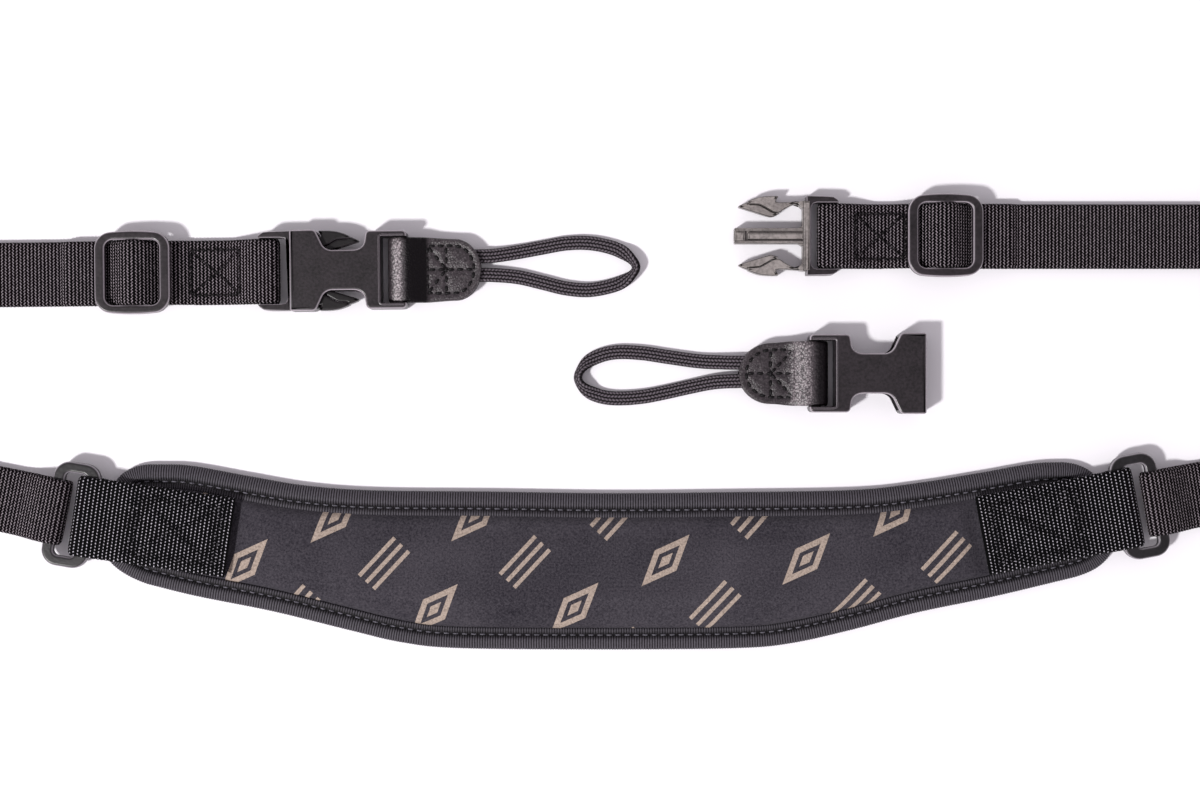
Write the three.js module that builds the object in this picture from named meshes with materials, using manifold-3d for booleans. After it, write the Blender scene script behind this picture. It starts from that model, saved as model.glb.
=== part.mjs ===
// Binocular neck strap, laid out on a table: a padded collar, two adjustable webbing ends
// and two quick-release cord loops, one buckled on and one taken off.
// Millimetres. +X runs along the pad, +Y from the pad to the buckles, +Z up from the table.
// The origin is the middle of the pad's underside.

import * as THREE from "three";
import { mergeVertices } from "three/addons/utils/BufferGeometryUtils.js";
import Module from "manifold-3d";

const wasm = await Module();
wasm.setup();

// ---------------------------------------------------------------- driving dimensions

const GAP = 0.25; // clearance between pieces that lie on each other

// Neck pad: closed-cell foam faced with knitted jersey, pinched thin where the tape holds it.
// Each long edge is a smooth curve through its rows; round corners lead to straight ends that
// lie square to the tabs.
const PAD_HEIGHT = 5.6;
const PAD_PRESSED_HEIGHT = 3.8;
const PAD_EDGE = { low: 1.1, high: 2.7 };
const PAD_UPPER_EDGE = [
  { x: -141.5, y: 33.5 },
  { x: -130, y: 33.1 },
  { x: -112, y: 29.9 },
  { x: -94, y: 26.9 },
  { x: -73, y: 25.4 },
  { x: -36, y: 25 },
  { x: 0, y: 24.5 },
  { x: 36, y: 24.8 },
  { x: 76, y: 25.5 },
  { x: 96, y: 27.6 },
  { x: 115, y: 30.7 },
  { x: 132, y: 33.7 },
  { x: 141.5, y: 34.2 },
];
const PAD_LOWER_EDGE = [
  { x: -143.5, y: -4 },
  { x: -128, y: -7.8 },
  { x: -104, y: -12.6 },
  { x: -80, y: -18.5 },
  { x: -64, y: -22.2 },
  { x: -46, y: -24 },
  { x: 0, y: -24.4 },
  { x: 40, y: -24 },
  { x: 57, y: -22.5 },
  { x: 76, y: -18.3 },
  { x: 96, y: -13 },
  { x: 120, y: -8 },
  { x: 143.5, y: -2.4 },
];
const PAD_CORNERS = {
  upper: { corner: { x: 153.6, y: 33.6 }, end: { x: 155.3, y: 22.3 } },
  lower: { corner: { x: 155.8, y: 0.4 }, end: { x: 157.4, y: 7.5 } },
};
const PAD_ACROSS = 4; // rows of faces from the upper edge to the lower one
// Stations as shares of half the pad, close together where a tab's end presses it down
const PAD_STATIONS = [0, 0.18, 0.33, 0.43, 0.53, 0.64, 0.73, 0.77, 0.8, 0.83, 0.86, 0.93, 1];

// Edge binding: a folded stretch tape, C-shaped in section
const TAPE = { width: 5.8, wall: 0.85, height: 3.8, rim: 1.2 };

// Webbing and leather
const WEBBING = { width: 20, thick: 1.3 };
const TAB = { width: 24.7, thick: 1.5, fold: 2.55, length: 49.5 };
const LEATHER = { width: 20, tipWidth: 18.9, thick: 1.3 };

// Plain ring that joins tab and webbing
const RING = { length: 32.6, width: 13.5, bar: 3.3, thick: 3, corner: 4.8, windowCorner: 1.6, bevel: 0.6 };

// Slider: rounded frame with a lower middle bar that the webbing's end is sewn round
const SLIDER = { length: 22.6, width: 25.6, endBar: 3, rail: 2.4, thick: 3.2, corner: 4.6, bevel: 0.7 };
const SLIDER_BAR = { halfWidth: 1.5, halfThick: 1.2 };

// Side-release buckle. u runs from the female half's mouth to its bar, v across, w up
const FEMALE = {
  length: 36,
  halfWidth: 12.5,
  waist: 6.2,
  height: 9,
  mouthDepth: 8.2,
  mouthHalfWidth: 11.3,
  roomDepth: 23.4,
  roomHeight: 5.6,
  slotFrom: 28,
  barFrom: 32.4,
  barThick: 2.6,
  bevel: 0.6,
};
const MALE = {
  collar: 1.4,
  slotFrom: 2.4,
  barFrom: 7.7,
  end: 11.1,
  halfWidth: 12.2,
  slotHalfWidth: 10.3,
  plateHalfWidth: 10.9,
  height: 6,
  plateHeight: 5,
  barThick: 2.5,
  prongThick: 4.8,
  guideLength: 21.2,
  guideHalf: 2.3,
};
const MALE_INSERTION = 1.1; // how far the plate's front goes into the mouth when fastened

// Flat braided cord
const CORD = { width: 4.4, thick: 2, level: 2.55, sides: 8, step: 3.6 };

// The two ends of the strap. ring is the ring's middle; tabRise, ringRise and webbingRise are
// the angles at which tab, ring and webbing point away from the pad; padEnd is the way back
// to the pad's end, leadOut the straight length before the turn, slider the slider's middle,
// tilt the upper run's angle, reach the way from slider to buckle frame and buckleLevel the
// height of the buckle's middle.
const TWIST = 47; // length over which the webbing turns from flat to standing on its edge
const SIDES = {
  left: {
    sign: -1,
    ring: { x: -166.4, y: 17.9 },
    tabRise: 8.2,
    ringRise: 9.6,
    webbingRise: 11.4,
    padEnd: 10.1,
    leadOut: 95,
    slider: { x: -146.8, y: 92.8 },
    tilt: 0.6,
    reach: 38.8,
    buckleLevel: FEMALE.height / 2,
  },
  right: {
    sign: 1,
    ring: { x: 165.1, y: 20.6 },
    tabRise: 10.7,
    ringRise: 10.7,
    webbingRise: 9.8,
    padEnd: 9.3,
    leadOut: 75,
    slider: { x: 104.4, y: 104.3 },
    tilt: 0,
    reach: 32.8,
    buckleLevel: MALE.height / 2,
  },
};

// The quick-release ends: mouth is the middle of the female half's front face
const RELEASES = {
  left: { turn: 0.6, leatherLength: 58.7, roundEnd: 8 },
  right: { mouth: { x: 98.3, y: 61.6 }, turn: 180, leatherLength: 57.5, roundEnd: 10 },
};

// Where each cord loop runs, from its sewn end round the tip and back
const CORD_ROUTES = {
  left: [
    { x: -52.8, y: 98, z: 2.55 },
    { x: -46.8, y: 98, z: 2.55 },
    { x: -40.5, y: 98.1, z: 2.55 },
    { x: -35.5, y: 98.3, z: 2.0 },
    { x: -27.9, y: 99.5, z: 1.3 },
    { x: -20.4, y: 100.9, z: 1.1 },
    { x: -12.9, y: 102.2, z: 1.1 },
    { x: -5.5, y: 102.3, z: 1.1 },
    { x: 2, y: 100.7, z: 1.1 },
    { x: 6.7, y: 98, z: 1.1 },
    { x: 8.9, y: 94.7, z: 1.1 },
    { x: 6.7, y: 91.6, z: 1.1 },
    { x: 2, y: 89.2, z: 1.1 },
    { x: -5.5, y: 87.7, z: 1.1 },
    { x: -12.9, y: 88.2, z: 1.1 },
    { x: -20.4, y: 90, z: 1.1 },
    { x: -27.9, y: 91.7, z: 1.3 },
    { x: -35.5, y: 92.3, z: 2.0 },
    { x: -40.5, y: 92.3, z: 2.55 },
    { x: -46.8, y: 92.3, z: 2.55 },
    { x: -52.8, y: 92.2, z: 2.55 },
  ],
  right: [
    { x: 53.2, y: 64.9, z: 2.55 },
    { x: 47.2, y: 64.9, z: 2.55 },
    { x: 40.8, y: 65, z: 2.55 },
    { x: 35.8, y: 65.1, z: 2.0 },
    { x: 28.2, y: 65.5, z: 1.3 },
    { x: 18.2, y: 66.9, z: 1.1 },
    { x: 10.8, y: 68, z: 1.1 },
    { x: 3.2, y: 68.3, z: 1.1 },
    { x: -2.4, y: 67.2, z: 1.1 },
    { x: -6.7, y: 64.8, z: 1.1 },
    { x: -9.2, y: 60.6, z: 1.1 },
    { x: -7.1, y: 56.9, z: 1.1 },
    { x: -2.4, y: 54.6, z: 1.1 },
    { x: 3.2, y: 53.9, z: 1.1 },
    { x: 10.8, y: 54.4, z: 1.1 },
    { x: 18.2, y: 55.8, z: 1.1 },
    { x: 25.8, y: 57.5, z: 1.2 },
    { x: 33.2, y: 58.9, z: 1.8 },
    { x: 40.8, y: 59.3, z: 2.55 },
    { x: 47.2, y: 59.3, z: 2.55 },
    { x: 53.2, y: 59.3, z: 2.55 },
  ],
};

// Materials
const nylon = new THREE.MeshStandardMaterial({ color: 0x1b1a1d, roughness: 0.75, metalness: 0 });
const coarseNylon = new THREE.MeshStandardMaterial({ color: 0x1f1d1f, roughness: 0.8, metalness: 0 });
const jersey = new THREE.MeshStandardMaterial({ color: 0x37363b, roughness: 0.95, metalness: 0 });
const tape = new THREE.MeshStandardMaterial({ color: 0x26262b, roughness: 0.85, metalness: 0 });
const acetal = new THREE.MeshStandardMaterial({ color: 0x2b2a2d, roughness: 0.5, metalness: 0 });
const leather = new THREE.MeshStandardMaterial({ color: 0x1d1b1c, roughness: 0.55, metalness: 0 });
const braid = new THREE.MeshStandardMaterial({ color: 0x1e1d20, roughness: 0.8, metalness: 0 });

// ---------------------------------------------------------------- helpers

const radians = THREE.MathUtils.degToRad;

function ease(from, to, x) {
  return THREE.MathUtils.smoothstep(x, from, to);
}

// A closed geometry as a manifold-3d solid.
function solidOf(geometry) {
  const bare = new THREE.BufferGeometry();
  const source = geometry.index ? geometry.toNonIndexed() : geometry;
  bare.setAttribute("position", source.getAttribute("position"));
  const merged = mergeVertices(bare, 1e-4);
  const mesh = new wasm.Mesh({
    numProp: 3,
    vertProperties: new Float32Array(merged.attributes.position.array),
    triVerts: new Uint32Array(merged.index.array),
  });
  return new wasm.Manifold(mesh);
}

function geometryOf(solid) {
  const mesh = solid.getMesh();
  const geometry = new THREE.BufferGeometry();
  geometry.setAttribute("position", new THREE.BufferAttribute(mesh.vertProperties, 3));
  geometry.setIndex(new THREE.BufferAttribute(mesh.triVerts, 1));
  return geometry;
}

function joined(...geometries) {
  return geometries.map(solidOf).reduce((a, b) => a.add(b));
}

function box(u, v, w) {
  const size = [u[1] - u[0], v[1] - v[0], w[1] - w[0]];
  const middle = [(u[0] + u[1]) / 2, (v[0] + v[1]) / 2, (w[0] + w[1]) / 2];
  return new THREE.BoxGeometry(...size).translate(...middle);
}

// A flat outline given thickness about the plane w = 0, with its rims bevelled.
function plate(shape, thick, bevel) {
  const geometry = new THREE.ExtrudeGeometry(shape, {
    depth: thick - 2 * bevel,
    bevelEnabled: bevel > 0,
    bevelThickness: bevel,
    bevelSize: bevel,
    bevelOffset: -bevel,
    bevelSegments: 1,
    curveSegments: 4,
  });
  return geometry.translate(0, 0, bevel - thick / 2);
}

function roundedRectangle(path, halfX, halfY, radius) {
  path.moveTo(halfX, -halfY + radius);
  path.lineTo(halfX, halfY - radius);
  path.absarc(halfX - radius, halfY - radius, radius, 0, Math.PI / 2, false);
  path.lineTo(-halfX + radius, halfY);
  path.absarc(-halfX + radius, halfY - radius, radius, Math.PI / 2, Math.PI, false);
  path.lineTo(-halfX, -halfY + radius);
  path.absarc(-halfX + radius, -halfY + radius, radius, Math.PI, 1.5 * Math.PI, false);
  path.lineTo(halfX - radius, -halfY);
  path.absarc(halfX - radius, -halfY + radius, radius, 1.5 * Math.PI, 2 * Math.PI, false);
  return path;
}

// The two triangles of a four-sided patch
function split(points, a, b, c, d) {
  return [a, b, c, a, c, d];
}

// The same, along the diagonal whose middle lies higher. Both faces of a strip, and both layers
// where it is doubled, are then split alike and stay apart where the strip twists.
function splitHigher(points, a, b, c, d) {
  const rises = points[a].z + points[c].z > points[b].z + points[d].z;
  return rises ? [a, b, c, a, c, d] : [a, b, d, b, c, d];
}

// A closed surface from rings of points that all have the same count. The rings follow each
// other across the surface; the first and last are joined, or each is closed by a grid cap.
function skinned(rings, capFaces, halves = split) {
  const count = rings[0].length;
  const points = rings.flat();
  const position = points.flatMap((p) => [p.x, p.y, p.z]);
  const faces = [];
  const last = capFaces ? rings.length - 1 : rings.length;
  for (let r = 0; r < last; r++) {
    const here = r * count;
    const next = ((r + 1) % rings.length) * count;
    for (let i = 0; i < count; i++) {
      const j = (i + 1) % count;
      faces.push(...halves(points, here + i, here + j, next + j, next + i));
    }
  }
  if (capFaces) {
    capFaces(position, faces);
  }
  return outward(position, faces);
}

// The geometry of these faces, turned over if they face inwards.
function outward(position, faces) {
  const corner = (i) => new THREE.Vector3().fromArray(position, 3 * faces[i]);
  let volume = 0;
  for (let i = 0; i < faces.length; i += 3) {
    volume += corner(i).dot(corner(i + 1).cross(corner(i + 2)));
  }
  const geometry = new THREE.BufferGeometry();
  geometry.setAttribute("position", new THREE.Float32BufferAttribute(position, 3));
  geometry.setIndex(volume < 0 ? faces.toReversed() : faces);
  return geometry;
}

// A strip of cloth or leather: one rectangular section at each station, closed at both ends.
// A station is { middle, across, up, halfWidth }.
function strip(stations, thick) {
  const rings = stations.map((s) => {
    const corners = [];
    for (const [side, face] of [[-1, -1], [1, -1], [1, 1], [-1, 1]]) {
      const corner = s.middle.clone();
      corner.addScaledVector(s.across, side * s.halfWidth);
      corner.addScaledVector(s.up, (face * thick) / 2);
      corners.push(corner);
    }
    return corners;
  });
  const capFaces = (position, faces) => {
    const end = 4 * (rings.length - 1);
    faces.push(0, 2, 1, 0, 3, 2, end, end + 1, end + 2, end, end + 2, end + 3);
  };
  return skinned(rings, capFaces, splitHigher);
}

// Unit vectors across a line of points that lies in a vertical plane.
function stationsAlong(points, across, halfWidthAt) {
  return points.map((middle, i) => {
    const before = points[Math.max(i - 1, 0)];
    const after = points[Math.min(i + 1, points.length - 1)];
    const along = after.clone().sub(before).normalize();
    const up = along.clone().cross(across).normalize();
    return { middle, across, up, halfWidth: halfWidthAt(i) };
  });
}

// Points of an arc in a (distance, height) plane, from one angle to another in degrees.
function arc(centre, radius, from, to, steps) {
  const points = [];
  for (let i = 0; i <= steps; i++) {
    const angle = radians(from + ((to - from) * i) / steps);
    const out = radius * Math.cos(angle);
    points.push(new THREE.Vector2(centre.x + out, centre.y + radius * Math.sin(angle)));
  }
  return points;
}

function vectors(...pairs) {
  return pairs.map(([x, y]) => new THREE.Vector2(x, y));
}

// ---------------------------------------------------------------- neck pad and its binding

// One long edge of the pad with its round corners, from the left end to the right.
function edgeChain(rows, { corner, end }) {
  const knots = rows.map((r) => new THREE.Vector2(r.x, r.y));
  const fine = new THREE.SplineCurve(knots).getPoints(600);
  const pointAt = (x) => {
    const i = fine.findIndex((p, k) => k > 0 && p.x >= x - 1e-6);
    const share = (x - fine[i - 1].x) / (fine[i].x - fine[i - 1].x);
    return fine[i - 1].clone().lerp(fine[i], share);
  };
  const half = knots.at(-1).x;
  const stations = [...PAD_STATIONS.slice(1).map((s) => -s).reverse(), ...PAD_STATIONS];
  const long = stations.map((s) => pointAt(s * half));
  const round = (from, side) => {
    const middle = new THREE.Vector2(side * corner.x, corner.y);
    const to = new THREE.Vector2(side * end.x, end.y);
    return new THREE.QuadraticBezierCurve(from, middle, to).getPoints(4).slice(1);
  };
  return [...round(long[0], -1).reverse(), ...long, ...round(long.at(-1), 1)];
}

// The pad's rim, anticlockwise from the lower left: the lower edge, the right end, the upper
// edge and the left end. Both edges have the same number of points.
function padRim() {
  const low = edgeChain(PAD_LOWER_EDGE, PAD_CORNERS.lower);
  const high = edgeChain(PAD_UPPER_EDGE, PAD_CORNERS.upper);
  const endPoints = (from, to) => {
    const points = [];
    for (let j = 1; j < PAD_ACROSS; j++) {
      points.push(from.clone().lerp(to, j / PAD_ACROSS));
    }
    return points;
  };
  const right = endPoints(low.at(-1), high.at(-1));
  const left = endPoints(high[0], low[0]);
  return { rim: [...low, ...right, ...high.toReversed(), ...left], columns: low.length };
}

// The rim moved inwards by a distance, at one height.
function insetRim(rim, inset, height) {
  return rim.map((p, i) => {
    const before = rim.at(i - 1);
    const after = rim[(i + 1) % rim.length];
    const along = after.clone().sub(before).normalize();
    return new THREE.Vector3(p.x - along.y * inset, p.y + along.x * inset, height);
  });
}

// How far the tabs press the pad down: 1 under a tab, 0 in the free middle.
function pressedAt(point) {
  const side = point.x < 0 ? SIDES.left : SIDES.right;
  const heading = headingOut(side, side.tabRise);
  const outwards = new THREE.Vector2(Math.cos(heading), Math.sin(heading));
  const away = new THREE.Vector2(point.x - side.ring.x, point.y - side.ring.y);
  return 1 - ease(TAB.length + 3.6, TAB.length + 8.4, -away.dot(outwards));
}

function neckPad() {
  const { rim, columns } = padRim();
  const shape = [
    { inset: 8.4, z: 0 },
    { inset: 7.4, z: 0 },
    { inset: TAPE.width + 0.4, z: PAD_EDGE.low },
    { inset: TAPE.rim + 0.5, z: PAD_EDGE.low },
    { inset: TAPE.rim + 0.1, z: PAD_EDGE.low + 0.5 },
    { inset: TAPE.rim + 0.1, z: PAD_EDGE.high - 0.5 },
    { inset: TAPE.rim + 0.5, z: PAD_EDGE.high },
    { inset: TAPE.width + 0.4, z: PAD_EDGE.high },
    { inset: 7.2, z: PAD_HEIGHT - 0.8 },
    { inset: 8.4, z: PAD_HEIGHT },
  ];
  const lowered = (p) => {
    const most = THREE.MathUtils.lerp(PAD_HEIGHT, PAD_PRESSED_HEIGHT, pressedAt(p));
    return Math.min(p.z, most);
  };
  const rings = shape.map((row) => insetRim(rim, row.inset, row.z));
  for (const p of rings.flat()) {
    p.z = lowered(p);
  }
  return skinned(rings, (position, faces) => {
    cap(rings[0], 0, columns, position, faces, 0);
    const top = rings.length - 1;
    cap(rings[top], top * rim.length, columns, position, faces, PAD_HEIGHT, lowered);
  });
}

// A grid of faces inside a ring of rim points: columns run from the lower edge to the upper.
function cap(ring, first, columns, position, faces, height, lowered) {
  const across = PAD_ACROSS;
  const count = ring.length;
  const lowIndex = (c) => c;
  const highIndex = (c) => columns + across - 1 + (columns - 1 - c);
  const grid = [];
  for (let c = 0; c < columns; c++) {
    const column = [first + lowIndex(c)];
    for (let j = 1; j < across; j++) {
      if (c === 0) {
        column.push(first + count - j);
      } else if (c === columns - 1) {
        column.push(first + columns + j - 1);
      } else {
        const p = ring[lowIndex(c)].clone().lerp(ring[highIndex(c)], j / across);
        p.z = height;
        p.z = lowered ? lowered(p) : height;
        column.push(position.length / 3);
        position.push(p.x, p.y, p.z);
      }
    }
    column.push(first + highIndex(c));
    grid.push(column);
  }
  for (let c = 0; c + 1 < columns; c++) {
    for (let j = 0; j < across; j++) {
      const [a, b] = [grid[c][j], grid[c + 1][j]];
      const [d, e] = [grid[c][j + 1], grid[c + 1][j + 1]];
      if (first === 0) {
        faces.push(a, e, b, a, d, e);
      } else {
        faces.push(a, b, e, a, e, d);
      }
    }
  }
}

function edgeBinding() {
  const { rim } = padRim();
  const { width, wall, height, rim: bulge } = TAPE;
  const section = [
    { inset: width, z: 0 },
    { inset: bulge, z: 0 },
    { inset: 0.25, z: 0.6 },
    { inset: 0, z: height / 2 },
    { inset: 0.25, z: height - 0.6 },
    { inset: bulge, z: height },
    { inset: width, z: height },
    { inset: width, z: height - wall },
    { inset: bulge + 0.1, z: height - wall },
    { inset: wall, z: height / 2 },
    { inset: bulge + 0.1, z: wall },
    { inset: width, z: wall },
  ];
  return skinned(section.map((row) => insetRim(rim, row.inset, row.z)));
}

// ---------------------------------------------------------------- one end of the strap

// A frame on the table: s runs along a straight stretch, v across it, z up.
function groundFrame(origin, heading) {
  const along = new THREE.Vector3(Math.cos(heading), Math.sin(heading), 0);
  const across = new THREE.Vector3(-along.y, along.x, 0);
  const place = (s, z) =>
    new THREE.Vector3(origin.x, origin.y, z).addScaledVector(along, s);
  return { along, across, place, heading, origin };
}

function headingOut(side, rise) {
  return side.sign > 0 ? radians(rise) : Math.PI - radians(rise);
}

// The plan of the doubled webbing from ring to slider: straight out, half a turn, straight back.
function strapPlan(side) {
  const out = groundFrame(side.ring, headingOut(side, side.webbingRise));
  const backHeading = side.sign > 0 ? Math.PI + radians(side.tilt) : radians(side.tilt);
  const back = groundFrame(side.slider, backHeading);
  const turnStart = out.place(side.leadOut, 0);
  // The turn is tangent to both straights: its radius follows from the distance between them.
  const inwards = out.across.clone().multiplyScalar(side.sign);
  const backNormal = back.across.clone().multiplyScalar(side.sign);
  const offset = turnStart.clone().sub(back.place(0, 0)).dot(backNormal);
  const radius = offset / (1 - inwards.dot(backNormal));
  const centre = turnStart.clone().addScaledVector(inwards, radius);
  const sweep = Math.PI - radians(side.webbingRise) + radians(side.tilt);
  const turnEnd = centre.clone().addScaledVector(backNormal, -radius);
  const backLength = back.place(0, 0).sub(turnEnd).dot(back.along);
  const turnLength = radius * sweep;
  return {
    out,
    back,
    centre,
    radius,
    sweep,
    turnLength,
    backLength,
    total: side.leadOut + turnLength + backLength,
  };
}

// Where the doubled webbing is at a distance from the ring, and how far it has turned on edge.
function strapAt(side, plan, distance) {
  const turnFrom = side.leadOut;
  const turnTo = turnFrom + plan.turnLength;
  const upright =
    ease(turnFrom - TWIST, turnFrom, distance) * (1 - ease(turnTo, turnTo + TWIST, distance));
  if (distance < turnFrom) {
    return { middle: plan.out.place(distance, 0), across: plan.out.across, upright };
  }
  if (distance > turnTo) {
    const s = distance - plan.total;
    return { middle: plan.back.place(s, 0), across: plan.back.across, upright };
  }
  const angle = side.sign * ((distance - turnFrom) / plan.radius);
  const heading = plan.out.heading + angle;
  const across = new THREE.Vector3(-Math.sin(heading), Math.cos(heading), 0);
  const middle = plan.centre.clone().addScaledVector(across, -side.sign * plan.radius);
  return { middle, across, upright };
}

// A station of the lower (layer -1) or upper (layer 1) webbing on the doubled stretch.
function doubledStation(side, plan, distance, layer) {
  const { middle, across, upright } = strapAt(side, plan, distance);
  const angle = (side.sign * upright * Math.PI) / 2;
  const lifted = new THREE.Vector3(0, 0, 1);
  const width = across.clone().multiplyScalar(Math.cos(angle));
  width.addScaledVector(lifted, Math.sin(angle));
  const up = lifted.clone().multiplyScalar(Math.cos(angle));
  up.addScaledVector(across, -Math.sin(angle));
  const halfStack = WEBBING.thick + GAP / 2;
  const height =
    (WEBBING.width / 2) * Math.abs(Math.sin(angle)) + halfStack * Math.cos(angle);
  const place = middle.clone();
  place.z = height;
  place.addScaledVector(up, (layer * (WEBBING.thick + GAP)) / 2);
  return { middle: place, across: width, up, halfWidth: WEBBING.width / 2 };
}

function doubledDistances(side, plan, from, to) {
  const turnTo = side.leadOut + plan.turnLength;
  const twistIn = side.leadOut - TWIST;
  const twistOut = turnTo + TWIST;
  const cuts = [
    { at: from, steps: 1 },
    { at: twistIn, steps: 12 },
    { at: side.leadOut, steps: 14 },
    { at: turnTo, steps: 12 },
    { at: twistOut, steps: 1 },
    { at: to, steps: 0 },
  ];
  const distances = [];
  for (let i = 0; i + 1 < cuts.length; i++) {
    for (let k = 0; k < cuts[i].steps; k++) {
      const share = k / cuts[i].steps;
      distances.push(THREE.MathUtils.lerp(cuts[i].at, cuts[i + 1].at, share));
    }
  }
  return [...distances, to];
}

// Heights of the webbing's middle on its way round ring, slider bar and buckle bar
const LAYER = WEBBING.thick + GAP;
const FLOOR_LAYER = WEBBING.thick / 2;
const SECOND_LAYER = FLOOR_LAYER + LAYER;
const THIRD_LAYER = SECOND_LAYER + LAYER + 0.1;
const RING_LEVEL = 4.6; // held up by the tab, which leaves the pad well above the table
const SLIDER_LEVEL = THIRD_LAYER + WEBBING.thick / 2 + GAP + SLIDER.thick / 2;
const SLIDER_BAR_LEVEL = 5;
const RING_CLEAR = 24; // beyond this distance from ring and slider the two layers lie flat

// One webbing strap: sewn round the slider's bar, out to the ring, back through the slider
// and round the bar of the buckle's male half, where its end is folded under and sewn.
function webbingStrap(side) {
  const plan = strapPlan(side);
  const total = plan.total;
  const wrap = SLIDER_BAR.halfThick + GAP + WEBBING.thick / 2;
  const ringWrap = RING.thick / 2 + GAP + WEBBING.thick / 2;
  const ringFold = { x: RING.width / 2 - RING.bar + 0.65, y: RING_LEVEL };
  const buckleWrap = MALE.barThick / 2 + GAP + WEBBING.thick / 2;
  const frameEnd = side.reach;
  const foldAt = { x: frameEnd + MALE.end - MALE.barFrom + 0.4, y: side.buckleLevel };
  const barLevel = SLIDER_BAR_LEVEL;
  const overBar = barLevel + wrap + LAYER;

  // Heights in the slider's frame, whose distances run on towards the buckle
  const sewnEnd = [
    ...vectors([-20, SECOND_LAYER], [-9.4, SECOND_LAYER], [-7.6, SECOND_LAYER + 0.15]),
    ...vectors([-2.2, barLevel + wrap - 0.65], [-0.6, barLevel + wrap]),
    ...arc({ x: 0.6, y: barLevel }, wrap, 90, -90, 6),
    ...vectors([-1.5, barLevel - wrap - 0.2], [-7.5, FLOOR_LAYER + 0.15], [-10, FLOOR_LAYER]),
  ];
  const ringEdge = RING.width / 2;
  const ringTurn = [
    ...vectors([ringEdge + 8, FLOOR_LAYER], [ringEdge + 0.6, RING_LEVEL - ringWrap - 0.15]),
    ...arc(ringFold, ringWrap, 270, 90, 8),
    ...vectors([ringEdge, RING_LEVEL + ringWrap], [ringEdge + 3, RING_LEVEL + ringWrap - 0.8]),
    ...vectors([ringEdge + 9, SECOND_LAYER + 0.6], [ringEdge + 12.5, SECOND_LAYER]),
  ];
  const through = [
    ...vectors([-23, SECOND_LAYER], [-20.6, THIRD_LAYER], [-9, THIRD_LAYER]),
    ...vectors([-7.8, THIRD_LAYER + 0.2], [-2.4, overBar - 0.5], [-0.8, overBar]),
    ...vectors([0.7, overBar + 0.02], [3.2, overBar - 1], [7.7, THIRD_LAYER + 0.2]),
    ...vectors([9.2, THIRD_LAYER], [12.4, THIRD_LAYER - 0.4], [16.5, SECOND_LAYER]),
    ...vectors([frameEnd - 10, SECOND_LAYER]),
    ...vectors([frameEnd - 1.2, side.buckleLevel + buckleWrap]),
    ...arc(foldAt, buckleWrap, 90, -90, 8),
    ...vectors([frameEnd - 0.5, side.buckleLevel - buckleWrap]),
    ...vectors([frameEnd - 10, FLOOR_LAYER], [18, FLOOR_LAYER]),
  ];

  const halfWidth = () => WEBBING.width / 2;
  const onBack = (p) => plan.back.place(p.x, p.y);
  const onOut = (p) => plan.out.place(p.x, p.y);
  const doubled = doubledDistances(side, plan, RING_CLEAR, total - RING_CLEAR);
  const lowerRun = doubled.toReversed().map((d) => doubledStation(side, plan, d, -1));
  const upperRun = doubled.map((d) => doubledStation(side, plan, d, 1));
  const turnedDown = (s) => ({ ...s, up: s.up.clone().negate() });
  const stations = [
    ...stationsAlong(sewnEnd.map(onBack), plan.back.across, halfWidth),
    ...lowerRun.map(turnedDown),
    ...stationsAlong(ringTurn.map(onOut), plan.out.across, halfWidth),
    ...upperRun,
    ...stationsAlong(through.map(onBack), plan.back.across, halfWidth),
  ];
  return strip(stations, WEBBING.thick);
}

// The coarse webbing tab: doubled on the pad's face, with the ring's inner bar in its fold.
function tabWebbing(side) {
  const out = groundFrame(side.ring, headingOut(side, side.tabRise));
  const low = PAD_PRESSED_HEIGHT + GAP + TAB.thick / 2;
  const high = low + TAB.thick + GAP;
  const barTop = RING_LEVEL + TAB.fold;
  const barBottom = RING_LEVEL - TAB.fold;
  const rim = -side.padEnd;
  const path = [
    ...vectors([-TAB.length, low], [rim - 0.4, low], [rim + 0.4, low - 0.6]),
    ...vectors([-8, barBottom + 0.35], [-6.8, barBottom + 0.05]),
    ...arc({ x: -3.9, y: RING_LEVEL }, TAB.fold, -90, 90, 8),
    ...vectors([-6.8, barTop], [rim - 2, high], [-TAB.length - 0.6, high]),
  ];
  const points = path.map((p) => out.place(p.x, p.y));
  const stations = stationsAlong(points, out.across, () => TAB.width / 2);
  return strip(stations, TAB.thick);
}

// ---------------------------------------------------------------- moulded hardware

function ring() {
  const shape = roundedRectangle(new THREE.Shape(), RING.width / 2, RING.length / 2, RING.corner);
  const window = [RING.width / 2 - RING.bar, RING.length / 2 - RING.bar];
  shape.holes.push(roundedRectangle(new THREE.Path(), ...window, RING.windowCorner));
  return plate(shape, RING.thick, RING.bevel);
}

function slider() {
  const { length, width, endBar, rail, thick, corner, bevel } = SLIDER;
  const shape = roundedRectangle(new THREE.Shape(), length / 2, width / 2, corner);
  const window = [length / 2 - endBar, width / 2 - rail];
  shape.holes.push(roundedRectangle(new THREE.Path(), ...window, 2));
  const bar = new THREE.CylinderGeometry(SLIDER_BAR.halfThick, SLIDER_BAR.halfThick, width - 3, 10);
  bar.scale(SLIDER_BAR.halfWidth / SLIDER_BAR.halfThick, 1, 1);
  bar.translate(0, 0, SLIDER_BAR_LEVEL - SLIDER_LEVEL);
  return geometryOf(joined(plate(shape, thick, bevel), bar));
}

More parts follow.
